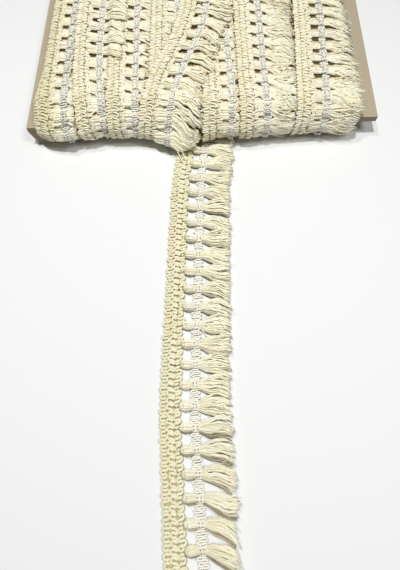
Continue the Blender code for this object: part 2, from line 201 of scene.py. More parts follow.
# the heights of the turns over each other, on a grid along and across the pack
gridS = np.linspace(0, around, 341)[:-1]
gridStep = 0.5
gridX = np.arange(-113.0, 110.5, gridStep)


def blur(grid, alongWidth, acrossWidth):
    # mean over a box, round the ring along and held at the ends across
    total = sum(np.roll(grid, k, axis=0) for k in range(-alongWidth, alongWidth + 1))
    padded = np.pad(total, ((0, 0), (acrossWidth, acrossWidth)), mode="edge")
    width = 2 * acrossWidth + 1
    run = np.cumsum(np.pad(padded, ((0, 0), (1, 0))), axis=1)
    return (run[:, width:] - run[:, :-width]) / width / (2 * alongWidth + 1)


def readGrid(grid, s, x):
    # value between the four nearest grid points
    i = np.mod(s, around) / around * len(gridS)
    j = np.clip((x - gridX[0]) / gridStep, 0, len(gridX) - 1.001)
    i0, j0 = np.floor(i).astype(int), np.floor(j).astype(int)
    fi, fj = i - i0, j - j0
    i0 = i0 % len(gridS)
    i1 = (i0 + 1) % len(gridS)
    near = grid[i0, j0] * (1 - fj) + grid[i0, j0 + 1] * fj
    far = grid[i1, j0] * (1 - fj) + grid[i1, j0 + 1] * fj
    return near * (1 - fi) + far * fi


# the heights at the bars, in the holes between them and in the slits of the tassels,
# and how far the solid parts of a turn reach, which hide what lies under them
heightLook = {
    "bar": 2.0, "hole": 0.3, "holeHalf": 2.6, "slit": 0.9, "slitHalf": 1.4, "slitEnd": 11.0, "thinner": 0.05,
    "edgeRoom": 0.6, "headingRoom": (1.2, 0.8), "chainHalf": 1.6, "outside": 30.0,
}


def paintHeights():
    # turn by turn in lying order: base = part of what lies below, then the trim's own
    # thickness, less between the bars and in the slits of the tassels
    look = heightLook
    height = np.zeros((len(gridS), len(gridX)))
    under = np.zeros_like(height)
    along = np.broadcast_to(gridS[:, None], height.shape) * 1.0
    sideways = np.full_like(height, look["outside"])
    for turn in turns:
        across = gridX[None, :] - turnChain(turn, gridS)[:, None]
        fromHole = (gridS[:, None] - turn["hole"] + packPitch / 2) % packPitch - packPitch / 2
        covered = (across > turn["edge"] - look["edgeRoom"]) & (across < trim["tip"])
        turn["base"] = pack["sink"] * blur(height, 1, 3)
        openRow = (across > trim["inner"]) & (across < -trim["chain"])
        row = np.where(np.abs(fromHole) < look["holeHalf"], look["hole"], look["bar"])
        body = np.where(openRow, row, trim["thick"])
        body = body - look["thinner"] * np.maximum(across - trim["chain"], 0)
        slit = (across > trim["chain"]) & (across < look["slitEnd"]) & (np.abs(fromHole) < look["slitHalf"])
        body = np.where(slit, look["slit"], body)
        height = np.where(covered, turn["base"] + body, height)
        under = np.where(covered, turn["base"], under)
        along = np.where(covered, gridS[:, None] - turn["hole"], along)
        sideways = np.where(covered, across, sideways)
        turn["after"] = height
        turn["footprint"] = covered.astype(float)
        outer, inner = turn["edge"] + look["headingRoom"][0], trim["inner"] - look["headingRoom"][1]
        solid = ((across > outer) & (across < inner)) | (np.abs(across) < look["chainHalf"])
        turn["solid"] = solid.astype(float)
    cover, solid = np.zeros_like(height), np.zeros_like(height)
    for turn in reversed(turns):
        turn["cover"], turn["hide"] = blur(cover, 1, 2), solid
        cover, solid = np.maximum(cover, turn["footprint"]), np.maximum(solid, turn["solid"])
    return dict(under=blur(under, 2, 4), along=along, sideways=sideways)


below = paintHeights()
print("heights painted for", len(turns), "turns")

# painted shade: a yarn with this tone takes the dark shade colour in full
inShade = 2.0                 # tone of a yarn that lies hidden under the others


# yarns are kept as a dictionary of arrays with a row for each yarn: place along the
# trim s, place across it u, height n, radius r and one tone for each yarn
def yarnSet(s, u, n, r, tone=None):
    s, u, n, r = np.broadcast_arrays(s, u, n, r)
    if tone is None:
        tone = rng.uniform(0, 1, len(s))
    return dict(s=s, u=u, n=n, r=r, tone=np.broadcast_to(tone, len(s)))


def laidOut(points, r, tone, ups=(0.0, 0.0, 1.0), keep=True):
    # yarns by their points in space, each point with its upward direction and whether
    # it is kept
    return dict(points=points, ups=np.broadcast_to(ups, points.shape), r=r, tone=tone,
                keep=np.broadcast_to(keep, points.shape[:2]))


def loopColumn(start, length, look):
    # a yarn that swings to and fro: s = distance + bulge x sin of twice the angle, which
    # rounds the loops, + bow x its cos, which bends the arms, + pair x sin of the angle,
    # which brings the arms together two by two, + slant x side; u = centre + reach x side
    loops = length / look["pitch"]
    steps = int(loops * look["steps"]) + 1
    angle = np.linspace(0, 2 * np.pi * loops, steps)[None, :] + look["phase"]
    knots = 2 * int(loops) + 2
    slow = np.linspace(0, knots - 1, steps)
    stray = look["stray"]

    def jitter(size):
        # random steps at the knots, joined by straight lines
        return size * np.interp(slow, np.arange(knots), rng.normal(0, 1, knots))[None, :]

    side = -np.cos(angle)
    s = start + look["pitch"] * (angle - look["phase"]) / (2 * np.pi) + look["bulge"] * np.sin(2 * angle)
    s = s + look.get("bow", 0) * np.cos(2 * angle) + look.get("pair", 0) * np.sin(angle)
    s = s + look.get("slant", 0) * side
    u = look["centre"] + (look["reach"] + jitter(stray)) * side + jitter(stray)
    n = look["height"] + look["tilt"] * side + look["arch"] * (1 - side ** 2) + jitter(stray * 0.6)
    r = look["radius"] * (1 + look["fat"] * (1 - side ** 2) + jitter(0.05))
    return yarnSet(s + jitter(stray * 0.8), u, n, r)


# the heading: three columns of loops, the middle one lying over its neighbours. Loops
# is how many each has in a pitch; in the pack they are closer and thinner
headingLook = {
    "bulge": 0.45, "stray": 0.25, "fat": 0.33, "arch": 0.15,
    "columns": (
        {"centre": -16.7, "reach": 1.6, "height": 1.5, "tilt": -0.1, "phase": 0.0, "slant": -0.15},
        {"centre": -13.0, "reach": 1.65, "height": 2.0, "tilt": 0.1, "phase": math.pi, "slant": 0.35,
         "bow": 0.3, "pair": 0.2},
        {"centre": -9.4, "reach": 1.55, "height": 1.6, "tilt": 0.1, "phase": 0.4, "slant": -0.45},
    ),
    "onTable": {"loops": 3, "radius": 0.67},
    "onPack": {"loops": 4, "radius": 0.6 * 3.4 / 4.4, "bulge": 0.3, "pair": 0.0},
}


def headingYarns(start, length, pitch, steps, edge, kind, tone):
    # the columns by loopColumn, each place across scaled towards the inner edge, so that
    # the outermost loops end at this turn's own edge
    columns = []
    for column in headingLook["columns"]:
        look = {**headingLook, **column, **headingLook[kind]}
        look.update(pitch=pitch / look["loops"], steps=steps)
        made = loopColumn(start, length, look)
        narrow = (trim["inner"] - edge) / (trim["inner"] - trim["edge"])
        made["u"] = trim["inner"] + (made["u"] - trim["inner"]) * narrow
        made["tone"] = tone + 0.4 * made["tone"]
        columns.append(made)
    return columns


def darkBows(s, u, half, look):
    # a short dark bow of yarn at each place, painted shade that stands for a hole or a dent:
    # s + half length x share, u bent by the share's square, with its ends lower and thinner
    share = np.linspace(-1, 1, look["points"])
    s, u = (np.reshape(value, (-1, 1)) for value in np.broadcast_arrays(s, u))
    s = s + rng.normal(0, look["drift"][0], s.shape) + half * share
    u = u + rng.normal(0, look["drift"][1], u.shape) + look["slant"] * share + look["bow"] * share ** 2
    thinner = look["thinner"] * np.abs(share) ** look["power"]
    return yarnSet(s, u, -look["dip"] * share ** 2, look["radius"] * (1 - thinner), look["tone"])


pinLook = {"place": -10.4, "top": 2.4, "half": 0.55, "points": 4, "drift": (0.5, 0.3), "slant": 0.3,
           "bow": 0.0, "dip": 0.25, "radius": 0.3, "thinner": 0.3, "power": 2, "tone": inShade}


def pinHoles(centres, edge=trim["edge"]):
    # the needle holes of the heading, one beside each bar, as dark bows of painted shade
    made = darkBows(centres, pinLook["place"] + 0.1 * (edge - trim["edge"]), pinLook["half"], pinLook)
    made["n"] = made["n"] + pinLook["top"]
    return made


# the chain: a finer greyish yarn looped to and fro, drawn in where it crosses a
# tassel, and two lines of stitches that hold it down
chainLook = {
    "loops": 5, "reach": 2.45, "drawnIn": 1.6, "low": 1.3, "high": 2.9, "shadeRows": (-1.15, 0, 1.15),
    "stitches": (-0.85, 0.85), "stitchRadius": 0.3, "stitchHeight": 0.35,
}
dotLook = {"half": 0.3, "above": 0.9, "points": 3, "drift": (0.12, 0.1), "slant": 0.0, "bow": 0.0, "dip": 0.3,
           "radius": 0.25, "thinner": 0.3, "power": 2, "tone": inShade}


def onTassel(s, firstTassel, pitch, half):
    # 1 over a tassel of that half width, 0 between tassels
    away = np.abs((s - firstTassel + pitch / 2) % pitch - pitch / 2)
    return 1 - smoothStep(away, half - 0.5, half + 0.5)


def chainYarns(start, length, pitch, firstTassel, steps, half, radius, stitches=True):
    # the looped yarn: n = lift + a part of u - a part of its square over a tassel; straight
    # rows of painted shade run below it, dark between the loops, and the stitches rise and
    # fall twice in each loop
    chain, loop = chainLook, pitch / chainLook["loops"]
    look = dict(centre=0.0, reach=1.0, height=0.0, tilt=0.0, phase=0.0, bulge=0.32, stray=0.14, arch=0.0,
                fat=0.0, slant=-0.3, pitch=loop, steps=steps, radius=radius)
    swing = loopColumn(start, length, look)
    over = onTassel(swing["s"], firstTassel, pitch, half)
    lift = chain["low"] + (chain["high"] - chain["low"]) * over
    swing["n"] = lift + 0.15 * swing["u"] - 0.4 * over * swing["u"] ** 2
    swing["u"] = swing["u"] * (chain["reach"] + (chain["drawnIn"] - chain["reach"]) * over)
    made = [swing]
    # painted shade: rows in the full shade tone under the looped yarn
    for place in chain["shadeRows"]:
        s = start + np.linspace(0, length, int(length / pitch * 4))[None, :]
        made.append(yarnSet(s, place + 0 * s, 0.6, 0.6, np.array([inShade])))
    for place in chain["stitches"] if stitches else ():
        s = start + np.linspace(0, length, int(length / pitch * chain["loops"] * 4) + 1)[None, :]
        over = onTassel(s, firstTassel, pitch, half)
        lift = chain["high"] + chain["stitchHeight"] + 0.3 * np.cos(4 * np.pi * (s - start) / loop)
        made.append(yarnSet(s, place + 0 * s, 0.7 + (lift - 0.7) * over, chain["stitchRadius"]))
    return made


def stitchDots(centres, half, rows, pitch):
    # the small holes between the stitches, as dark bows of painted shade: two columns at
    # even steps from the middle of each tassel, lower between the tassels
    low, high = chainLook["low"], chainLook["high"]
    s, u = np.meshgrid(rows, chainLook["stitches"])
    made = darkBows(np.asarray(centres)[:, None] + s.ravel(), u.ravel(), dotLook["half"], dotLook)
    lift = low + (high - low) * onTassel(made["s"], centres[0], pitch, half)
    made["n"] = made["n"] + (lift + dotLook["above"])
    return made


# the tassels: how the half width and half height of a bundle change across the trim
tasselLook = {
    "stations": (-8.8, -7.6, -6.2, -4.0, -1.2, 1.4, 3.6, 6.5, 12.0, 19.2),
    "halfWidth": (0.5, 1.7, 2.65, 2.55, 1.8, 1.9, 2.55, 3.2, 3.45, 3.4),
    "halfHeight": (0.7, 1.5, 1.75, 1.4, 0.95, 0.9, 1.35, 1.7, 1.6, 1.2),
    # in the pack the bundles are pressed flatter and wider
    "pressedWidth": (1.2, 2.5, 2.9, 2.75, 2.5, 2.4, 2.7, 3.4, 4.3, 4.2),
    "brushedWidth": (1.2, 2.6, 3.1, 3.0, 2.6, 2.5, 2.8, 3.3, 3.7, 3.5),
    # how far a lock spreads, the step from one yarn's level to the next, how much a lean
    # shortens a tassel, the power of its sweep, the share by which the yarns' radii
    # differ, and where they taper
    "lockSpread": 0.95, "levelStep": 0.618, "leanShortens": 0.03, "sweep": 1.6, "radii": (0.85, 1.15),
    "taper": (0.93, 1.03),
    # the places of a yarn's points, from finest to coarsest
    "fine": (0.0, 0.06, 0.12, 0.20, 0.29, 0.38, 0.46, 0.54, 0.62, 0.70, 0.78, 0.86, 0.93, 1.0),
    "medium": (0.0, 0.07, 0.16, 0.28, 0.38, 0.47, 0.56, 0.65, 0.74, 0.83, 0.92, 1.0),
    "coarse": (0.0, 0.07, 0.16, 0.30, 0.42, 0.54, 0.69, 0.85, 1.0),
    "coarsest": (0.0, 0.12, 0.30, 0.50, 0.75, 1.0),
}


def tasselYarns(centres, look, lean, spread, widen=0.0):
    # each yarn keeps its share of the bundle's round section from the bar, under the
    # chain, to its tip: s = centre + share x half width + lean x a power of the way out
    # + a slow drift, n = middle height + its share of the half height at that place.
    # The yarns drift together in locks, a lock is highest in its middle, and the outer
    # locks are shorter, so that the tip is rounded
    bundle, shares = tasselLook, np.array(tasselLook[look["shares"]])
    stations = bundle["stations"]
    count, yarns, radius, locks = len(centres), look["yarns"], look["radius"], look["locks"]
    lean, spread, widen, longer, tipLift, front = (
        np.broadcast_to(value, count)[:, None, None] for value in
        (lean, spread, widen, look.get("longer", 0.0), look["tipLift"], look["front"]))
    centre = np.asarray(centres)[:, None, None]
    lock = np.arange(yarns) * locks // yarns
    within = ((np.arange(yarns) + 0.5) * locks / yarns % 1 * 2 - 1)[None, :, None]
    place = (np.arange(locks) + 0.5) / locks * 2 - 1 + rng.normal(0, 0.25 / locks, (count, locks))
    place = place[:, lock, None] + bundle["lockSpread"] / locks * within
    place = place + rng.normal(0, 0.4 / yarns, (count, yarns, 1))
    place = np.clip(place, -0.97, 0.97)
    # neighbours get levels a golden share apart, so that upper yarns lie close all over
    level = (np.arange(yarns)[None, :] * bundle["levelStep"] + rng.uniform(0, 1, (count, 1))) % 1 * 2 - 1
    level = np.clip(level + rng.normal(0, 0.1, (count, yarns)), -1, 1)[:, :, None]
    lockTip = rng.normal(-0.2, look["ragged"], (count, locks))[:, lock, None]
    tip = trim["tip"] + longer - bundle["leanShortens"] * lean ** 2 - look["tipRound"] * np.abs(place) ** 3
    tip = tip + lockTip + rng.normal(0, 0.6 * look["ragged"], (count, yarns, 1))
    u = stations[0] + (tip - stations[0]) * shares
    out = np.clip((u - trim["chain"]) / (trim["tip"] - trim["chain"]), 0, 1.1)
    width = np.interp(u, stations, bundle[look["width"]]) * (1 + widen) * (1 + spread * out ** 0.5)
    height = np.interp(u, stations, bundle["halfHeight"]) * look["high"]
    rows, steps = (count * yarns, len(shares)), len(shares)
    lockDrift = wander((count * locks, steps), look["stray"]).reshape(count, locks, steps)[:, lock]
    drift = lockDrift + 0.3 * wander(rows, look["stray"]).reshape(u.shape)
    phase = rng.uniform(0, 2 * np.pi, (count, locks))[:, lock, None] + rng.normal(0, 0.5, (count, yarns, 1))
    crimp = look["crimp"] * np.sin(look["waves"] * u + phase)
    bend = rng.uniform(0, 2 * np.pi, (count, 1, 1))
    s = centre + place * width + lean * out ** bundle["sweep"] + drift * out + crimp * np.minimum(4 * out, 1)
    s = s + look.get("drop", 0.0) * smoothStep(out, 0.0, 0.45)
    s = s + look["sway"] * (np.sin(1.6 * np.pi * out + bend) - 0.5 * np.sin(bend)) * out
    n = height + 0.4 + tipLift * out + level * np.sqrt(np.clip(1 - place ** 2, 0.08, 1)) * height
    n = n + np.abs(wander(rows, 0.15).reshape(u.shape)) * out
    n = np.maximum(n - look["lockDip"] * within ** 2 * np.minimum(3 * out, 1), radius * 0.9)
    r = radius * (1 - 0.35 * smoothStep(out, *bundle["taper"]))
    r = r * rng.uniform(*bundle["radii"], (count, yarns, 1))
    # painted shade: yarns on the side where the place across the bundle is positive, the
    # near side on the loose end, are darkened by front, and the lowest yarns take the shade
    # tone, as they lie in the shade of the rest
    tone = rng.uniform(0, look["toneReach"], level.shape) + front * np.clip(place, 0, 1) ** 2
    tone = np.where(level < look["shade"], inShade - 0.3, tone).ravel()
    made = yarnSet(*(np.broadcast_to(value, u.shape).reshape(rows) for value in (s, u, n, r)), tone)
    made["centre"] = np.repeat(np.asarray(centres), yarns)[:, None]
    return made


barLook = {"place": -6.5, "halves": (0.2, 0.42), "points": 5, "drift": (0.3, 0.25), "slant": 0.0, "bow": 0.7,
           "dip": 0.4, "radius": 0.26, "thinner": 0.5, "power": 1, "tone": inShade - 0.35}


def barMarks(centres, width, high):
    # the small dent on top of each bar beside the heading, as a dark bow of painted shade
    barHalf, barHigh = (np.interp(barLook["place"], tasselLook["stations"], tasselLook[size])
                        for size in (width, "halfHeight"))
    half = barHalf * rng.uniform(*barLook["halves"], (len(centres), 1))
    made = darkBows(centres, barLook["place"] - 0.2, half, barLook)
    made["n"] = made["n"] + (0.2 + 2 * high * barHigh)
    made["centre"] = np.asarray(centres)[:, None]
    return made


def onTurn(turn, yarns, over=None):
    # yarns of one turn brought to the pack: height = base under this turn + n, pressed
    # where a later turn covers it, and dropped where a later heading hides it; from
    # its chain outwards it may lie over another turn instead
    s = yarns["s"]
    x = turnChain(turn, np.mod(yarns.get("centre", s), around)) + yarns["u"]
    base = readGrid(turn["base"], s, x)
    cover = readGrid(turn["cover"], s, x)
    hidden = readGrid(turn["hide"], s, x) > pack["hiddenFrom"]
    if over:
        out = smoothStep(yarns["u"], trim["chain"], 3 * trim["chain"])
        base = base + (np.maximum(pack["sink"] * readGrid(over["after"], s, x) + 1.0, base) - base) * out
        cover, hidden = cover * (1 - out), hidden & (out < 0.3)
    points, ups = packPoint(s, x, base + yarns["n"] * (1 - pack["pressed"] * cover))
    return laidOut(points, yarns["r"], yarns["tone"], ups, ~hidden)


def addYarnMesh(name, sets, sides, finish):
    # a ring of points round each yarn point, in the plane across the yarn's direction,
    # joined ring to ring and closed at both ends
    grids = [made["points"].shape[:2] for made in sets]
    points, ups = (np.concatenate([made[key].reshape(-1, 3) for made in sets]) for key in ("points", "ups"))
    radii = np.concatenate([np.broadcast_to(made["r"], grid).ravel() for made, grid in zip(sets, grids)])
    tones = np.concatenate([np.repeat(made["tone"], grid[1]) for made, grid in zip(sets, grids)])
    lengths = np.concatenate([np.full(*grid) for grid in grids])
    yarn = np.repeat(np.arange(len(lengths)), lengths)
    # a yarn is parted where it is hidden, and runs of one or two points are dropped
    kept = np.nonzero(np.concatenate([made["keep"].ravel() for made in sets]))[0]
    breaks = np.ones(len(kept), dtype=bool)
    breaks[1:] = (np.diff(kept) > 1) | (np.diff(yarn[kept]) > 0)
    run = np.cumsum(breaks) - 1
    enough = np.bincount(run)[run] > 2
    kept, run = kept[enough], np.unique(run[enough], return_inverse=True)[1]
    points, ups, radii, tones = (values[kept] for values in (points, ups, radii, tones))
    count = len(points)
    same = run[1:] == run[:-1]
    ahead, behind = np.arange(count), np.arange(count)
    ahead[:-1] += same
    behind[1:] -= same

    def unit(vectors):
        # each vector over its length
        return vectors / np.maximum(np.linalg.norm(vectors, axis=1, keepdims=True), 1e-9)

    tangent = unit(points[ahead] - points[behind])
    side = unit(np.cross(ups + np.array((0.0, 0.003, 0.0)), tangent))
    top = np.cross(tangent, side)
    # a yarn of four sides lies on one of them
    corner = np.arange(sides)
    offset = 0.5 if sides == 4 else 0.0
    turned = ((corner + offset) * 2 * np.pi / sides)[None, :, None]
    rings = np.cos(turned) * side[:, None, :] + np.sin(turned) * top[:, None, :]
    verts = (points[:, None, :] + rings * radii[:, None, None]).reshape(-1, 3)
    verts[:, 2] = np.maximum(verts[:, 2], 0.02)
    # faces: four corners between neighbouring rings, and a cap on each end
    low, after = np.nonzero(same)[0][:, None] * sides, (corner + 1) % sides
    quads = np.stack((low + corner, low + after, low + sides + after, low + sides + corner), axis=2)
    starts, ends = np.nonzero(np.append(True, ~same))[0], np.nonzero(np.append(~same, True))[0]
    caps = np.concatenate((starts[:, None] * sides + corner[::-1], ends[:, None] * sides + corner))
    # uv: the way along the yarn in millimetres, and the share of the way round it
    way = np.zeros(count)
    way[1:] = np.cumsum(np.linalg.norm(points[1:] - points[:-1], axis=1) * same)
    way -= way[starts][run]
    quadShare = np.broadcast_to((corner[:, None] + (0, 1, 1, 0) + offset) / sides, quads.shape)
    corners = np.concatenate((quads.ravel(), caps.ravel()))
    shares = np.concatenate((quadShare.ravel(), (caps.ravel() % sides + offset) / sides))
    mesh = bpy.data.meshes.new(name)
    mesh.vertices.add(len(verts))
    mesh.vertices.foreach_set("co", (verts * mm).ravel())
    mesh.loops.add(len(corners))
    mesh.loops.foreach_set("vertex_index", corners)
    quadCount = quads.size // 4
    loopStart = np.concatenate((np.arange(quadCount) * 4, quads.size + np.arange(len(caps)) * sides))
    mesh.polygons.add(len(loopStart))
    mesh.polygons.foreach_set("loop_start", loopStart)
    mesh.polygons.foreach_set("use_smooth", np.arange(len(loopStart)) < quadCount)
    uv = np.stack((way[corners // sides], shares), axis=1)
    mesh.uv_layers.new(name="yarnWay").data.foreach_set("uv", uv.ravel())
    mesh.attributes.new("tone", "FLOAT", "POINT").data.foreach_set("value", np.repeat(tones, sides))
    mesh.update(calc_edges=True)
    return addPiece(name, mesh, finish)


def addPiece(name, mesh, finish):
    # an object of the mesh with its finish, which goes with the one body
    mesh.materials.append(finish)
    piece = bpy.data.objects.new(name, mesh)
    bpy.context.collection.objects.link(piece)
    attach(piece, "root")
    return piece


def addSurface(name, points, finish, wrapRows=False, wrapColumns=False, ways=()):
    # a grid of points, row by row, as one surface, with its distance along and across
    # as UV, and further UV maps by name where they are given on the same grid
    rows, cols = points.shape[:2]
    index = np.arange(rows * cols).reshape(rows, cols)
    if wrapRows:
        index = np.concatenate((index, index[:1]))
    if wrapColumns:
        index = np.concatenate((index, index[:, :1]), axis=1)
    faces = np.stack((index[:-1, :-1], index[:-1, 1:], index[1:, 1:], index[1:, :-1]), axis=2).reshape(-1, 4)
    mesh = bpy.data.meshes.new(name)
    mesh.from_pydata((points * mm).reshape(-1, 3).tolist(), [], faces.tolist())
    distances = []
    for axis, size in ((0, index.shape[0]), (1, index.shape[1])):
        step = np.linalg.norm(np.diff(points, axis=axis), axis=2).mean(axis=1 - axis)
        distances.append(np.concatenate(([0], np.cumsum(step), [np.sum(step) + step[-1]]))[:size])
    distance = np.stack(np.meshgrid(*distances, indexing="ij"), axis=-1)
    for wayName, way in (("clothWay", distance),) + tuple(ways):
        if way.shape[0] < index.shape[0]:
            way = np.concatenate((way, way[:1] + np.array((around, 0.0))))
        if way.shape[1] < index.shape[1]:
            way = np.concatenate((way, way[:, :1]), axis=1)
        corners = np.stack((way[:-1, :-1], way[:-1, 1:], way[1:, 1:], way[1:, :-1]), axis=2)
        mesh.uv_layers.new(name=wayName).data.foreach_set("uv", corners.ravel())
    mesh.polygons.foreach_set("use_smooth", np.ones(len(faces), dtype=bool))
    mesh.update()
    return addPiece(name, mesh, finish)


# materials
def hexColour(code):
    # sRGB hex to linear: over 12.92 near black, else (share + 0.055) / 1.055 to the 2.4
    parts = np.array([int(code[i:i + 2], 16) for i in (1, 3, 5)]) / 255
    linear = np.where(parts <= 0.04045, parts / 12.92, ((parts + 0.055) / 1.055) ** 2.4)
    return (*linear.tolist(), 1.0)


def addNode(tree, kind, settings):
    # a node with its settings, by the name of a property or the name or number of an
    # input; a node or a socket given for an input is linked to it, and a colour code is
    # turned linear
    made = tree.nodes.new("ShaderNode" + kind)
    for key, value in settings.items():
        if isinstance(value, bpy.types.Node):
            value = value.outputs[0]
        elif str(value).startswith("#"):
            value = hexColour(value)
        if isinstance(value, bpy.types.NodeSocket):
            tree.links.new(value, made.inputs[key])
        elif isinstance(key, str) and hasattr(made, key):
            setattr(made, key, value)
        else:
            made.inputs[key].default_value = value
    return made


def newFinish(name, roughness, sheen=0.0, through=0.0):
    # a matt finish; through is how much light passes a little way into the yarn, which
    # softens its shadows
    finish = bpy.data.materials.new(name)
    finish.use_nodes = True
    shader = finish.node_tree.nodes["Principled BSDF"]
    settings = {"Roughness": roughness, "Specular IOR Level": 0.25, "Sheen Weight": sheen,
                "Sheen Roughness": 0.6, "Subsurface Weight": through,
                "Subsurface Radius": (1.0, 0.93, 0.8), "Subsurface Scale": mm}
    for key, value in settings.items():
        shader.inputs[key].default_value = value
    return finish, finish.node_tree, shader


def dressShader(tree, shader, colour, layers, height, strength, depth):
    # a colour with others laid over it, each by its share, and a bump of that depth in
    # millimetres from the height
    for share, other in layers:
        colour = addNode(tree, "Mix", {"data_type": "RGBA", 0: share, 6: colour, 7: other}).outputs[2]
    bump = addNode(tree, "Bump", {"Strength": strength, "Distance": depth * mm, "Height": height})
    tree.links.new(colour, shader.inputs["Base Color"])
    tree.links.new(bump.outputs[0], shader.inputs["Normal"])


def yarnFinish(name, look):
    # spun cotton yarn, matt: a twist of strands round each yarn, fuzz, a tone that
    # drifts from yarn to yarn, and painted shade in the deep colour on the yarn's sides, in
    # the grooves between its strands and on yarns that lie under the others, so that the eye parts every yarn
    finish, tree, shader = newFinish(name, 0.9, look["sheen"], look["through"])
    uv = addNode(tree, "SeparateXYZ", {0: addNode(tree, "UVMap", {"uv_map": "yarnWay"})})
    place = addNode(tree, "TexCoord", {}).outputs["Object"]
    tone = addNode(tree, "Attribute", {"attribute_name": "tone"}).outputs["Fac"]
    # the strands go once round the yarn in each twist length
    along = addNode(tree, "Math", {"operation": "DIVIDE", 0: uv, 1: look["twist"]})
    twist = addNode(tree, "Math", {"operation": "MULTIPLY_ADD", 0: uv.outputs[1], 1: look["strands"],
                                   2: along})
    angle = addNode(tree, "Math", {"operation": "MULTIPLY", 0: twist, 1: 2 * math.pi})
    wave = addNode(tree, "Math", {"operation": "SINE", 0: angle})
    fuzz = addNode(tree, "TexNoise", {"Vector": place, "Scale": 1 / (look["fuzz"] * mm), "Detail": 3.0})
    drift = addNode(tree, "TexNoise", {"Vector": place, "Scale": 1 / (look["drift"] * mm), "Detail": 2.0})
    toneShare = addNode(tree, "Math", {"operation": "MINIMUM", 0: tone, 1: 1.0})
    driftShare = addNode(tree, "MapRange", {0: drift, "From Min": 0.4, "From Max": 0.7,
                                            "To Max": look["driftShare"]})
    # the yarn's top is a quarter of the way round, and painted shade darkens the yarn away from it, on its
    # sides and underside
    roundAngle = addNode(tree, "Math", {"operation": "MULTIPLY", 0: uv.outputs[1], 1: 2 * math.pi})
    upward = addNode(tree, "Math", {"operation": "SINE", 0: roundAngle})
    sides = addNode(tree, "MapRange", {0: upward, "From Min": 0.75, "From Max": -0.25,
                                       "To Max": look["sides"]})
    # painted shade: yarns with a tone above 1 mix in the deep colour, all of it at inShade, and so do the
    # grooves between the strands
    hidden = addNode(tree, "MapRange", {0: tone, "From Min": 1.0, "From Max": inShade})
    grooveShade = addNode(tree, "MapRange", {0: wave, "From Min": -0.2, "From Max": -1.0,
                                        "To Max": look["grooveShade"]})
    sideAndHiddenShade = addNode(tree, "Math", {"operation": "MAXIMUM", 0: sides, 1: hidden})
    paintedShadeShare = addNode(tree, "Math", {"operation": "MAXIMUM", 0: sideAndHiddenShade, 1: grooveShade})
    height = addNode(tree, "Math", {"operation": "MULTIPLY_ADD", 0: wave, 1: 0.5, 2: fuzz})
    layers = ((toneShare, look["dark"]), (driftShare, look["yellow"]), (paintedShadeShare, look["deep"]))
    dressShader(tree, shader, look["light"], layers, height, 0.7, look["bump"])
    return finish


# deep: the colour of the painted shade on each yarn
headingYarn = yarnFinish("cream cotton gimp cord", {
    "light": "#f7f1da", "dark": "#e6e1be", "yellow": "#ebe1ba", "deep": "#776e4d", "driftShare": 0.5,
    "sides": 0.34, "twist": 1.6, "strands": 2, "grooveShade": 0.22, "fuzz": 0.35, "drift": 14.0, "bump": 0.1,
    "sheen": 0.1, "through": 0.1})
chainYarn = yarnFinish("undyed cotton stitching thread", {
    "light": "#f7f5ec", "dark": "#ebe9dd", "yellow": "#efebd8", "deep": "#7c755b", "driftShare": 0.3,
    "sides": 0.34, "twist": 1.1, "strands": 2, "grooveShade": 0.25, "fuzz": 0.3, "drift": 14.0, "bump": 0.09,
    "sheen": 0.1, "through": 0.0})
tasselYarn = yarnFinish("loose cream cotton yarn", {
    "light": "#fcf7e0", "dark": "#f2ebcc", "yellow": "#f0e5c0", "deep": "#968c74", "driftShare": 0.5,
    "sides": 0.14, "twist": 2.4, "strands": 1, "grooveShade": 0.08, "fuzz": 0.3, "drift": 16.0, "bump": 0.05,
    "sheen": 0.1, "through": 0.4})


def clothFinish(name, look):
    # plain woven ground: threads up and down on the UV in millimetres, matt, and coloured
    # darker than the cords over it as painted shade, so that the holes between the loops read deep
    finish, tree, shader = newFinish(name, 0.95)
    uv = addNode(tree, "SeparateXYZ", {0: addNode(tree, "UVMap", {"uv_map": "clothWay"})})
    place = addNode(tree, "TexCoord", {}).outputs["Object"]
    waves = []
    for axis in (0, 1):
        angle = addNode(tree, "Math", {"operation": "MULTIPLY", 0: uv.outputs[axis],
                                       1: 2 * math.pi / look["thread"]})
        waves.append(addNode(tree, "Math", {"operation": "SINE", 0: angle}))
    weave = addNode(tree, "Math", {"operation": "MULTIPLY", 0: waves[0], 1: waves[1]})
    blotch = addNode(tree, "TexNoise", {"Vector": place, "Scale": 1 / (look["blotch"] * mm)})
    share = addNode(tree, "Math", {"operation": "MULTIPLY_ADD", 0: weave, 1: 0.25, 2: blotch})
    dressShader(tree, shader, look["dark"], ((share, look["light"]),), weave, 0.8, 0.15)
    return finish


groundCloth = clothFinish("woven cotton ground", {
    "light": "#ddd1a9", "dark": "#b3a77d", "thread": 0.9, "blotch": 3.0})


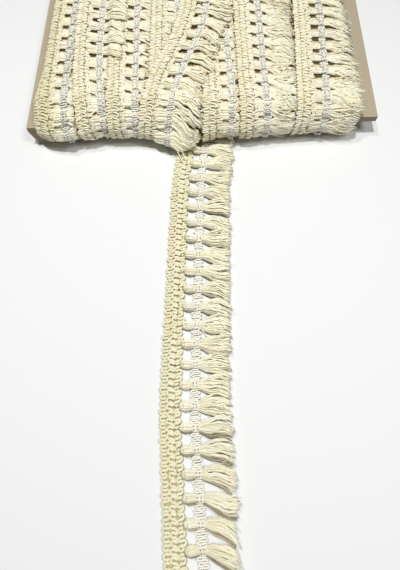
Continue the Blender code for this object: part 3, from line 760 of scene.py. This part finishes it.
def insideFinish(name, look):
    # the turns below, seen through the open row and the slits: cream yarn darkened as painted
    # shade, a dark brown band of painted shade on the far side of each hole, and painted shade
    # in the gaps past the tassels' tips, so that the holes read deep
    finish, tree, shader = newFinish(name, 0.95)
    uv = addNode(tree, "SeparateXYZ", {0: addNode(tree, "UVMap", {"uv_map": "holeWay"})})
    place = addNode(tree, "TexCoord", {}).outputs["Object"]
    blotch = addNode(tree, "TexNoise", {"Vector": place, "Scale": 1 / (look["blotch"] * mm), "Detail": 2.0})
    # the way from the middle of the nearest hole, with a ragged edge
    wobble = addNode(tree, "Math", {"operation": "MULTIPLY_ADD", 0: blotch, 1: 4.0, 2: uv})
    shifted = addNode(tree, "Math", {"operation": "ADD", 0: wobble, 1: packPitch * 50.5 - 2.0})
    part = addNode(tree, "Math", {"operation": "MODULO", 0: shifted, 1: packPitch})
    fromHole = addNode(tree, "Math", {"operation": "SUBTRACT", 0: part, 1: packPitch / 2})
    creviceShade = addNode(tree, "MapRange", {0: fromHole, "From Min": look["creviceEnd"],
                                         "From Max": look["creviceStart"]})
    # painted shade in the gaps past the tassels' tips and where no turn lies
    outside = addNode(tree, "Math", {"operation": "GREATER_THAN", 0: uv.outputs[1], 1: trim["tip"] - 1.0})
    gapShade = addNode(tree, "Math", {"operation": "MULTIPLY", 0: outside, 1: blotch})
    dark = addNode(tree, "Math", {"operation": "MAXIMUM", 0: creviceShade, 1: gapShade})
    angle = addNode(tree, "Math", {"operation": "MULTIPLY", 0: uv, 1: 2 * math.pi / look["strand"]})
    strands = addNode(tree, "Math", {"operation": "SINE", 0: angle})
    share = addNode(tree, "Math", {"operation": "MULTIPLY_ADD", 0: strands, 1: 0.3, 2: blotch})
    layers = ((share, look["light"]), (dark, look["creviceShade"]))
    dressShader(tree, shader, look["dark"], layers, strands, 0.8, 0.4)
    return finish


packInside = insideFinish("inner turns of cotton trim in shade", {
    "light": "#f0e7c4", "dark": "#d2c292", "creviceShade": "#614d2d", "strand": 1.9, "blotch": 3.0,
    "creviceStart": -1.2, "creviceEnd": -0.2})


def kraftFinish(name, look):
    # uncoated kraft board: short fibres and specks on the faces, and a layered cut edge that is
    # darker, partly by the board's own plies and partly as painted shade on the faces that stand up
    finish, tree, shader = newFinish(name, 0.85)
    place = addNode(tree, "TexCoord", {}).outputs["Object"]
    fibres = addNode(tree, "Mapping", {0: place, "Scale": (1.0, 5.0, 1.0), "Rotation": (0, 0, 0.3)})
    grain = addNode(tree, "TexNoise", {"Vector": fibres, "Scale": 1 / (look["fibre"] * mm), "Detail": 4.0})
    specks = addNode(tree, "TexNoise", {"Vector": place, "Scale": 1 / (look["speck"] * mm), "Detail": 2.0})
    speckShare = addNode(tree, "MapRange", {0: specks, "From Min": 0.62, "From Max": 0.72, "To Max": 0.4})
    # faces that stand up from the table take the edge colours, partly painted shade
    facing = addNode(tree, "SeparateXYZ", {0: addNode(tree, "NewGeometry", {}).outputs["True Normal"]})
    flat = addNode(tree, "Math", {"operation": "ABSOLUTE", 0: facing.outputs[2]})
    cut = addNode(tree, "MapRange", {0: flat, "From Min": 0.7, "From Max": 0.5})
    level = addNode(tree, "SeparateXYZ", {0: place})
    ply = addNode(tree, "Math", {"operation": "MULTIPLY", 0: level.outputs[2],
                                 1: 2 * math.pi / (look["ply"] * mm)})
    plyWave = addNode(tree, "Math", {"operation": "SINE", 0: ply})
    plyShare = addNode(tree, "MapRange", {0: plyWave, "From Min": -1.0})
    edge = addNode(tree, "Mix", {"data_type": "RGBA", 0: plyShare, 6: look["edge"], 7: look["edgeDeep"]})
    layers = ((grain, look["dark"]), (speckShare, look["fleck"]), (cut, edge.outputs[2]))
    dressShader(tree, shader, look["light"], layers, grain, 0.35, 0.1)
    return finish


kraftBoard = kraftFinish("uncoated kraft board", {
    "light": "#b3a890", "dark": "#9b9078", "fleck": "#7c725c", "edge": "#958a74", "edgeDeep": "#7c725d",
    "fibre": 1.2, "speck": 0.8, "ply": 0.8})
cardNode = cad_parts["card"]
cardNode.data.materials.clear()
cardNode.data.materials.append(kraftBoard)
print("materials made")


# the pack's inside: a closed ring a little below the outer turns, with layered sides
insideLook = {"above": 0.25, "rows": 104, "columns": 88, "edge": 1.5, "layers": 5, "layerDepth": 0.7,
              "cardHalf": 2.5, "cardFront": -74.25, "cardSlant": 9.5, "cardBack": 69.5, "cardWidth": 228.6}


def cardSlot(s, x):
    # the point on the slot round the card that a place on the ring looks at
    look = insideLook
    front, back, y = ringPlace(np.mod(s, around))
    cardFront = look["cardFront"] + look["cardSlant"] * x / look["cardWidth"]
    y = y + np.sin(front) ** 0.5 * (cardFront + pack["straight"])
    y = y + np.sin(back) ** 0.5 * (look["cardBack"] - pack["straight"])
    z = packMiddle + look["cardHalf"] * np.clip(np.cos(front + back) * 3, -1, 1)
    return np.stack(np.broadcast_arrays(x, y, z), axis=-1)


def buildInside():
    # the outer grid lies under the turns; from its two edges the sides go in straight
    # steps to the card's slot, moved in and out by a sine, which gives the layers
    look = insideLook
    left, right = pack["left"] + look["edge"], pack["right"] - look["edge"]
    s, x = np.meshgrid(np.linspace(0, around, look["rows"], endpoint=False),
                       np.linspace(left, right, look["columns"]), indexing="ij")
    outer = packPoint(s, x, readGrid(below["under"], s, x) + look["above"])[0]
    shares = np.linspace(0, 1, 16)[1:]
    sides = []
    for edge, sign in ((0, -1), (-1, 1)):
        inner = cardSlot(s[:, 0], x[:, edge])
        steps = outer[:, edge][:, None] * (1 - shares[:, None]) + inner[:, None] * shares[:, None]
        steps[:, :, 0] += sign * look["layerDepth"] * np.sin(shares * 2 * np.pi * look["layers"])
        sides.append(steps)
    ring = np.concatenate((sides[0][:, ::-1], outer, sides[1]), axis=1)
    # the place along and across the turn above, which sets where the painted shade of the holes falls
    i = np.minimum(s.astype(int), len(gridS) - 1)
    j = np.clip(np.round((x - gridX[0]) / gridStep).astype(int), 0, len(gridX) - 1)
    holeWay = np.stack((below["along"][i, j] - i + s, below["sideways"][i, j]), axis=-1)
    edges = [np.repeat(holeWay[:, [k]], len(shares), axis=1) for k in (0, -1)]
    holeWay = np.concatenate((edges[0], holeWay, edges[1]), axis=1)
    # the last and first columns meet in the card's slot, which closes the solid
    return addSurface("packInside", ring, packInside, wrapRows=True, wrapColumns=True,
                      ways=(("holeWay", holeWay),))


inside = buildInside()
print("inside of the pack built")


# the turns: each one's heading, chain and tassels as yarns. The first stretch shows,
# the second lies against the table
upperTassels = {
    "yarns": 22, "locks": 6, "radius": 0.56, "width": "pressedWidth", "shares": "coarse", "high": 0.62,
    "tipLift": 0.0, "lockDip": 0.4, "stray": 0.65, "sway": 1.2, "ragged": 0.55, "tipRound": 1.0, "waves": 0.8,
    "crimp": 0.4, "shade": -0.9, "toneReach": 1.1, "front": 0.15}
brushedTassels = {
    "yarns": 27, "locks": 4, "radius": 0.5, "width": "brushedWidth", "shares": "fine", "high": 0.95,
    "tipLift": 0.0, "lockDip": 0.2, "stray": 0.5, "sway": 1.6, "ragged": 0.8, "tipRound": 1.6, "waves": 0.9,
    "crimp": 0.25, "shade": -0.95, "toneReach": 1.15, "front": 0.2}
turnLook = {
    "tasselSides": 4, "barHalf": 2.9, "chainRadius": 0.5, "dots": (-4.11, -1.37, 1.37, 4.11),
    "stretches": ({"label": "", "headingSteps": 8, "chainSteps": 7, "sides": 5},
                  {"label": "Below", "headingSteps": 5, "chainSteps": 5, "sides": 4}),
    "upper": upperTassels,
    "open": {**upperTassels, "yarns": 28, "radius": 0.5, "crimp": 0.55, "sway": 1.8, "toneReach": 1.2,
             "shares": "medium"},
    "brushed": brushedTassels,
    "combed": {**brushedTassels, "crimp": 0.5, "stray": 0.8},
    "unseen": {"yarns": 6, "locks": 6, "radius": 0.85, "width": "pressedWidth", "shares": "coarsest",
               "high": 0.7, "tipLift": 0.0, "lockDip": 0.0, "stray": 0.3, "sway": 0.5, "ragged": 0.4,
               "tipRound": 0.5, "waves": 1.0, "crimp": 0.2, "shade": -1.0, "toneReach": 1.0, "front": 0.0},
    # the second turn's far tassels were brushed over the third turn's heading
    "brushedFrom": 22, "brushedTo": 92, "brushedLean": 5.0,
    "frontWidening": 0.5, "frontFatter": 0.35, "frontFlatter": 0.15, "spread": 0.42,
}
# the stretch of each turn that lies against the table, in whole tassels
unseen = (16.5 * packPitch, 26.5 * packPitch)


def buildTurn(turn):
    # heading and chain for both stretches, then a tassel at s = hole + pitch x number,
    # each with its own lean and spread
    look, name, hole = turnLook, turn["name"], turn["hole"]
    firstTassel = hole + packPitch / 2
    unseenLength = unseen[1] - unseen[0]
    seenLength = around - unseenLength
    begins = (hole + unseen[1], hole + unseen[1] + seenLength)
    pieces = []
    centres = firstTassel + packPitch * np.arange(pack["units"])
    under = (centres > unseen[0] + hole) & (centres < unseen[1] + hole)
    for stretch, begin, length in zip(look["stretches"], begins, (seenLength, unseenLength)):
        seen = not stretch["label"]
        heading = headingYarns(begin, length, packPitch, stretch["headingSteps"], turn["edge"], "onPack",
                               turn["tone"])
        if seen:
            heading.append(pinHoles(centres[~under], turn["edge"]))
        for yarns in heading:
            # the heading spreads both ways where the open row is drawn shut, and its
            # cords lie closer
            shut = drawnShut(yarns["s"])
            share = (yarns["u"] - turn["edge"]) / (trim["inner"] - turn["edge"])
            inward = (turn["inward"] + 0.9 * shut) * share
            yarns["u"] = yarns["u"] + inward - turn["outward"] * shut * (1 - share)
            yarns["r"] = yarns["r"] * (1 + 0.1 * shut)
        chain = chainYarns(begin, length, packPitch, firstTassel, stretch["chainSteps"], look["barHalf"],
                           look["chainRadius"], seen)
        if seen:
            chain.append(stitchDots(centres[~under], look["barHalf"], look["dots"], packPitch))
        for yarns in chain:
            shut = drawnShut(yarns["s"])
            yarns["u"], yarns["r"] = yarns["u"] * (1 + 0.12 * shut), yarns["r"] * (1 + 0.1 * shut)
        for kind, made, sides, finish in (("Heading", heading, stretch["sides"], headingYarn),
                                          ("Chain", chain, 4, chainYarn)):
            pieces.append(addYarnMesh(name + "Turn" + kind + stretch["label"],
                                      [onTurn(turn, yarns) for yarns in made], sides, finish))
    tassels = []
    longer = np.interp(np.mod(centres, around), (0, flatLength), turn["longer"])
    widen = turn["shut"] + (look["frontWidening"] - turn["shut"]) * drawnShut(centres)
    lean = turn["lean"] + rng.normal(0, turn["leans"], len(centres))
    spread = look["spread"] + rng.uniform(-0.08, 0.08, len(centres))
    brushed = np.zeros(len(centres), dtype=bool)
    if name == "second":
        brushed = (centres > look["brushedFrom"]) & (centres < look["brushedTo"])
        made = tasselYarns(centres[brushed], look["brushed"], lean[brushed] + look["brushedLean"],
                           spread[brushed] * 0.7, 0.1)
        tassels.append(onTurn(turn, made, over=turns[2]))
    free = ~under & ~brushed
    freeLook = dict(look[turn["kind"]], longer=longer[free], drop=turn["drop"])
    freeLook["ragged"] = turn.get("ragged", freeLook["ragged"])
    made = tasselYarns(centres[free], freeLook, lean[free], spread[free], widen[free])
    # round the front the bundles are pressed flat
    made["r"] = made["r"] * (1 + look["frontFatter"] * drawnShut(made["s"]))
    made["n"] = made["n"] * (1 - look["frontFlatter"] * drawnShut(made["s"]))
    tassels.append(onTurn(turn, made))
    made = tasselYarns(centres[under], look["unseen"], lean[under] * 0.5, spread[under], turn["shut"])
    tassels.append(onTurn(turn, made))
    tassels.append(onTurn(turn, barMarks(centres[~under], "pressedWidth", 0.75)))
    pieces.append(addYarnMesh(name + "TurnTassels", tassels, look["tasselSides"], tasselYarn))
    return pieces


turnPieces = []
for turn in turns:
    turnPieces += buildTurn(turn)
print("turns built:", len(turnPieces), "pieces")


# the narrow woven ground under each heading, wound round the pack
groundLook = {"outer": -17.9, "inner": -8.2, "height": 1.35, "tailHeight": 1.0, "thick": 0.3, "columns": 6,
              "rows": 200, "tailRows": 160}


def groundStrip(turn):
    # x = the turn's chain there + u, height = base under this turn + the ground's own
    look = groundLook
    narrow = (trim["inner"] - turn["edge"]) / (trim["inner"] - trim["edge"])
    outer = trim["inner"] + (look["outer"] - trim["inner"]) * narrow
    s, u = np.meshgrid(np.linspace(0, around, look["rows"], endpoint=False),
                       np.linspace(outer, look["inner"], look["columns"]), indexing="ij")
    x = turnChain(turn, s) + u
    pressed = 1 - pack["pressed"] * readGrid(turn["cover"], s, x)
    return packPoint(s, x, readGrid(turn["base"], s, x) + look["height"] * pressed)[0]


def joinStrips(name, strips, finish):
    # several ring strips of the same size as one surface
    parts = [addSurface(name + str(i), strip, finish, wrapRows=True)
             for i, strip in enumerate(strips)]
    with bpy.context.temp_override(active_object=parts[0], object=parts[0], selected_objects=parts,
                                   selected_editable_objects=parts):
        bpy.ops.object.join()
    piece = parts[0]
    piece.name = piece.data.name = name
    return piece


def thicken(piece):
    # half of the thickness to each side
    solid = piece.modifiers.new("Thickness", "SOLIDIFY")
    solid.thickness = groundLook["thick"] * mm
    solid.offset = 0


ground = joinStrips("turnGround", [groundStrip(turn) for turn in turns], groundCloth)
thicken(ground)
print("ground strips built")


# the sides of the pack: scalloped heading edges on the left, cut tassel ends on the right
sideLook = {
    "left": -101.4, "right": 92, "depth": -0.8, "leftCentre": -102.2, "leftReach": 1.5, "leftRadius": 0.7,
    "leftLayers": (0.13, 0.36, 0.59, 0.82), "ends": 900, "endRadius": 0.5, "rightPlace": 89.5,
    "rightLayers": (0.1, 0.3, 0.5, 0.7, 0.9), "endsAlong": (0.0, 0.3, 0.6), "endsOut": (0.0, 1.6, 3.0),
}


def sideYarns(s, x, share, up, r, tone):
    # yarns on the pack's side: share 0 is at the card's slot and 1 at the outer surface
    s = np.mod(s, around)
    outer = packPoint(s, np.clip(x, sideLook["left"], sideLook["right"]), sideLook["depth"] + 0 * s)[0]
    inner = cardSlot(s, x + 0 * s)
    points = inner + (outer - inner) * np.asarray(share)[..., None]
    points[..., 0] = x + 0 * s
    return laidOut(points, r, tone, up)


def leftSide():
    # one column of scalloped loops along the side for each layer, at its share of the
    # way out + a small sine
    sets = []
    for layer, share in enumerate(sideLook["leftLayers"]):
        look = dict(headingLook, centre=sideLook["leftCentre"] + rng.normal(0, 0.3),
                    reach=sideLook["leftReach"], radius=sideLook["leftRadius"], height=0.0, tilt=0.0,
                    arch=0.0, phase=rng.uniform(0, 6), pitch=packPitch / 3, steps=7)
        yarns = loopColumn(0, around, look)
        share = share + 0.02 * np.sin(yarns["s"] / 9 + layer)
        sets.append(sideYarns(yarns["s"], yarns["u"] - 0.4, share, (-1.0, 0.0, 0.0), yarns["r"],
                              yarns["tone"]))
    addYarnMesh("leftEdges", sets, 4, headingYarn)


def rightSide():
    # short yarn ends at random places along the side, each in one of the layers
    count = sideLook["ends"]
    s = rng.uniform(0, around, (count, 1)) + sideLook["endsAlong"]
    share = rng.choice(sideLook["rightLayers"], (count, 1)) + rng.normal(0, 0.035, (count, 1))
    x = sideLook["rightPlace"] + np.array(sideLook["endsOut"]) + rng.uniform(-0.8, 1.0, (count, 1))
    made = sideYarns(s, x, share + (0.0, 0.0, -0.02), (0.0, 0.0, 1.0), sideLook["endRadius"],
                     rng.uniform(0, 1, count))
    addYarnMesh("rightEnds", [made], 4, tasselYarn)


leftSide()
rightSide()
print("sides built")


# the loose end on the table: the values below go with the places in y
tail = {
    "start": -73.5, "firstTassel": -85.5, "tassels": 23, "ease": 34.0,
    "y": (-82, -90, -128, -193, -226, -248, -273, -300, -332),
    "chain": (2.0, 0.0, -2.4, -3.6, -4.4, -5.6, -3.6, -2.2, 0.4),
    "lean": (0.5, 1.6, 2.4, 3.0, 2.4, 1.0, -1.0, 6.5, 12.0),
    "spread": (0.68, 0.80, 0.88, 0.92, 0.92, 0.88, 0.82, 0.60, 0.25),
    "tipLift": (0.6, 0.8, 1.0, 1.1, 1.3, 1.5, 2.2, 2.8, 3.0),
    # front: painted shade on the near side of each tassel, stronger towards the end
    "front": (0.8, 0.8, 0.8, 0.8, 0.8, 1.1, 1.6, 2.0, 2.0),
    "headingSteps": 16, "headingTone": 0.6, "chainSteps": 10, "chainRadius": 0.51, "sides": 6,
    "tasselSides": 4, "barHalf": 1.9, "dots": (-0.75, 0.75), "pressed": 0.35,
    "tassel": {"yarns": 56, "locks": 8, "radius": 0.4, "width": "halfWidth", "shares": "fine", "high": 1.45,
               "lockDip": 0.6, "stray": 0.7, "sway": 1.4, "ragged": 0.55, "tipRound": 1.2, "waves": 0.9,
               "crimp": 0.25, "shade": -0.85, "toneReach": 1.15},
}
tailEnd = tail["firstTassel"] - (tail["tassels"] - 0.5) * trim["pitch"]


def tailValue(wanted, y):
    # a value of the loose end at y, eased between the places above
    return eased(y, tail["y"][::-1], tail[wanted][::-1], tail["ease"])


def onTable(yarns):
    # s is the distance out from y = 0; x = the chain's place there + u
    y = -yarns["s"]
    x = tailValue("chain", -yarns.get("centre", yarns["s"])) + yarns["u"]
    # under the pack's loop it lies flatter
    press = 1 - tail["pressed"] * smoothStep(y, -84, -76)
    points = np.stack(np.broadcast_arrays(x, y, np.maximum(yarns["n"] * press, yarns["r"] * 0.8)), axis=-1)
    return laidOut(points, yarns["r"], yarns["tone"])


def buildTail():
    # as a turn, on the table: a tassel at first + pitch x number, and one more under the
    # pack, with lean and spread eased along the loose end
    look, pitch = tail, trim["pitch"]
    start, length, first = -look["start"], look["start"] - tailEnd, -look["firstTassel"]
    centres = first + pitch * np.arange(-1, look["tassels"])
    heading = headingYarns(start, length, pitch, look["headingSteps"], trim["edge"], "onTable",
                           look["headingTone"])
    heading.append(pinHoles(centres[1:]))
    chain = chainYarns(start, length, pitch, first, look["chainSteps"], look["barHalf"], look["chainRadius"])
    chain.append(stitchDots(centres[1:], look["barHalf"], look["dots"], pitch))
    lean = tailValue("lean", -centres) + rng.normal(0, 0.9, len(centres))
    spread = tailValue("spread", -centres) + rng.uniform(-0.1, 0.1, len(centres))
    bundle = dict(look["tassel"], tipLift=tailValue("tipLift", -centres), front=tailValue("front", -centres))
    tassels = [tasselYarns(centres, bundle, lean, spread), barMarks(centres, "halfWidth", bundle["high"])]
    return [addYarnMesh(name, [onTable(yarns) for yarns in made], sides, finish)
            for name, made, sides, finish, slotName in (
                ("tailHeading", heading, look["sides"], headingYarn, "cotton_gimp"),
                ("tailChain", chain, look["sides"], chainYarn, "tassel_yarn"),
                ("tailTassels", tassels, look["tasselSides"], tasselYarn, "tassel_yarn"))]


def tailGroundStrip():
    # x = the chain's place + u, at one height
    look = groundLook
    s, u = np.meshgrid(np.linspace(-tail["start"], -tailEnd, look["tailRows"]),
                       np.linspace(look["outer"], look["inner"], look["columns"]), indexing="ij")
    return np.stack((tailValue("chain", -s) + u, -s, look["tailHeight"] + 0 * s), axis=-1)


# single yarns that have come loose, each by its points, x, y and z
looseLook = {
    "radius": 0.3, "steps": 26,
    "paths": (
        ((-0.5, -208.3, 4.2), (5.8, -206.0, 5.2), (10.3, -204.8, 5.0), (15.4, -203.0, 3.6)),
        ((-1.5, -208.3, 4.0), (0.1, -210.0, 2.6), (1.8, -212.3, 0.9), (6.8, -213.4, 0.6),
         (11.8, -213.6, 1.2), (14.6, -212.6, 2.6)),
        ((0.2, -200.1, 3.6), (2.4, -201.9, 2.2), (4.1, -203.7, 0.8), (5.0, -206.0, 0.5)),
        ((-21.5, -81.0, 17.0), (-17.5, -85.0, 13.0), (-13.4, -91.0, 7.5), (-10.6, -98.4, 4.6)),
        ((-23.5, -82.5, 14.0), (-18.6, -87.5, 9.5), (-15.4, -93.0, 6.0), (-13.6, -97.0, 4.4)),
    ),
}


def buildLoose():
    # each path is walked by even shares and rounded off by the mean of near places
    look = looseLook
    sets = []
    for path in map(np.array, look["paths"]):
        knots = np.arange(len(path))
        t = np.linspace(0, knots[-1], look["steps"])
        points = np.stack([eased(t, knots, path[:, axis], 1.0) for axis in range(3)], axis=-1)[None]
        sets.append(laidOut(points, look["radius"], np.array([0.2])))
    return addYarnMesh("looseYarns", sets, 6, tasselYarn)


looseYarns = buildLoose()
tailHeading, tailChain, tailTassels = buildTail()

# fine yarns that stray over the tassels of the upper turns and of the loose end
strayLook = {
    "turns": ("second", "sixth", "seventh", "slanting"), "tassels": 15, "leans": 3.0, "from": 3.5,
    "spread": 0.6, "yarns": 4, "locks": 4, "radius": 0.28, "width": "brushedWidth", "shares": "coarse",
    "high": 1.0, "tipLift": 1.3, "lockDip": 0.0, "stray": 1.8, "sway": 3.2, "ragged": 1.4, "tipRound": 0.0,
    "waves": 0.5, "crimp": 0.3, "shade": -2.0, "toneReach": 1.0, "front": 0.0,
    "onTail": {"yarns": 3, "radius": 0.22, "leans": 2.0, "width": "halfWidth", "high": 1.4, "stray": 1.4,
               "sway": 2.4},
}


def strayOver(centres, look, lean, spread, lay):
    # tassel yarns as above, of which only the part past the chain is kept
    yarns = tasselYarns(centres, look, lean + rng.normal(0, look["leans"], len(centres)), spread)
    made = lay(yarns)
    made["keep"] = made["keep"] & (yarns["u"] > look["from"])
    return made


def buildStray():
    # a few single yarns over each listed turn's tassels, then over the loose end's
    look = strayLook
    sets = []
    for turn in turns:
        if turn["name"] in look["turns"]:
            centres = turn["hole"] + packPitch * (0.5 + np.arange(look["tassels"]))
            made = strayOver(centres, look, turn["lean"], look["spread"], lambda yarns: onTurn(turn, yarns))
            sets.append(made)
    onPack = addYarnMesh("strayYarns", sets, 4, tasselYarn)
    centres = -tail["firstTassel"] + trim["pitch"] * np.arange(tail["tassels"])
    look = dict(look, **look["onTail"], tipLift=tailValue("tipLift", -centres) + 0.6)
    made = strayOver(centres, look, tailValue("lean", -centres), tailValue("spread", -centres), onTable)
    return onPack, addYarnMesh("tailStrayYarns", [made], 4, tasselYarn)


strayYarns, tailStrayYarns = buildStray()
turnPieces.append(strayYarns)
tailGround = addSurface("tailGround", tailGroundStrip()[::-1], groundCloth)
thicken(tailGround)
print("loose end built")

# what stands for what
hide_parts("wound_trim", "edge_fringe")
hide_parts("tail_heading")
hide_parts("tail_fringe")

# floor, lights and camera
studio = {
    "floor": "#e2e3e2", "sky": 0.077,
    "lamps": {
        "overheadLamp": {"place": (-0.093, -0.115, 0.87), "width": 0.05, "energy": 4.9},
        "leftLamp": {"place": (-0.266, 0.050, 0.87), "width": 0.05, "energy": 2.28},
        "rightLamp": {"place": (0.36, -0.26, 0.75), "width": 0.3, "energy": 2.7},
    },
    "camera": (-0.0021, -0.2623, 0.223), "tiltFromDown": 20.1, "lens": 25.26,
}


def addFloor():
    # a level square that reaches 3 m each way
    mesh = bpy.data.meshes.new("floor")
    mesh.from_pydata([(-3, -3, 0), (3, -3, 0), (3, 3, 0), (-3, 3, 0)], [], [(0, 1, 2, 3)])
    floor = bpy.data.objects.new("floor", mesh)
    bpy.context.collection.objects.link(floor)
    finish, _, shader = newFinish("matt white table", 0.9)
    shader.inputs["Base Color"].default_value = hexColour(studio["floor"])
    mesh.materials.append(finish)


def addLamp(name, look):
    # a round lamp above the table that faces straight down
    light = bpy.data.lights.new(name, "AREA")
    light.shape = "DISK"
    light.size = look["width"]
    light.energy = look["energy"]
    lamp = bpy.data.objects.new(name, light)
    lamp.location = look["place"]
    lamp.visible_camera = False
    bpy.context.collection.objects.link(lamp)


addFloor()
for name, look in studio["lamps"].items():
    addLamp(name, look)
world = bpy.data.worlds.new("studio")
world.use_nodes = True
world.node_tree.nodes["Background"].inputs["Color"].default_value = (1.0, 1.0, 1.0, 1.0)
world.node_tree.nodes["Background"].inputs["Strength"].default_value = studio["sky"]
bpy.context.scene.world = world
bpy.context.scene.view_settings.view_transform = "Standard"

lens = bpy.data.cameras.new("camera")
lens.lens = studio["lens"]
lens.clip_start = 0.01
camera = bpy.data.objects.new("camera", lens)
camera.location = studio["camera"]
camera.rotation_euler = (math.radians(studio["tiltFromDown"]), 0, 0)
bpy.context.collection.objects.link(camera)
bpy.context.scene.camera = camera

meshes = [piece.data for piece in bpy.data.objects if piece.type == "MESH" and not piece.hide_render]
print("triangles in all:", sum(len(face.vertices) - 2 for mesh in meshes for face in mesh.polygons))
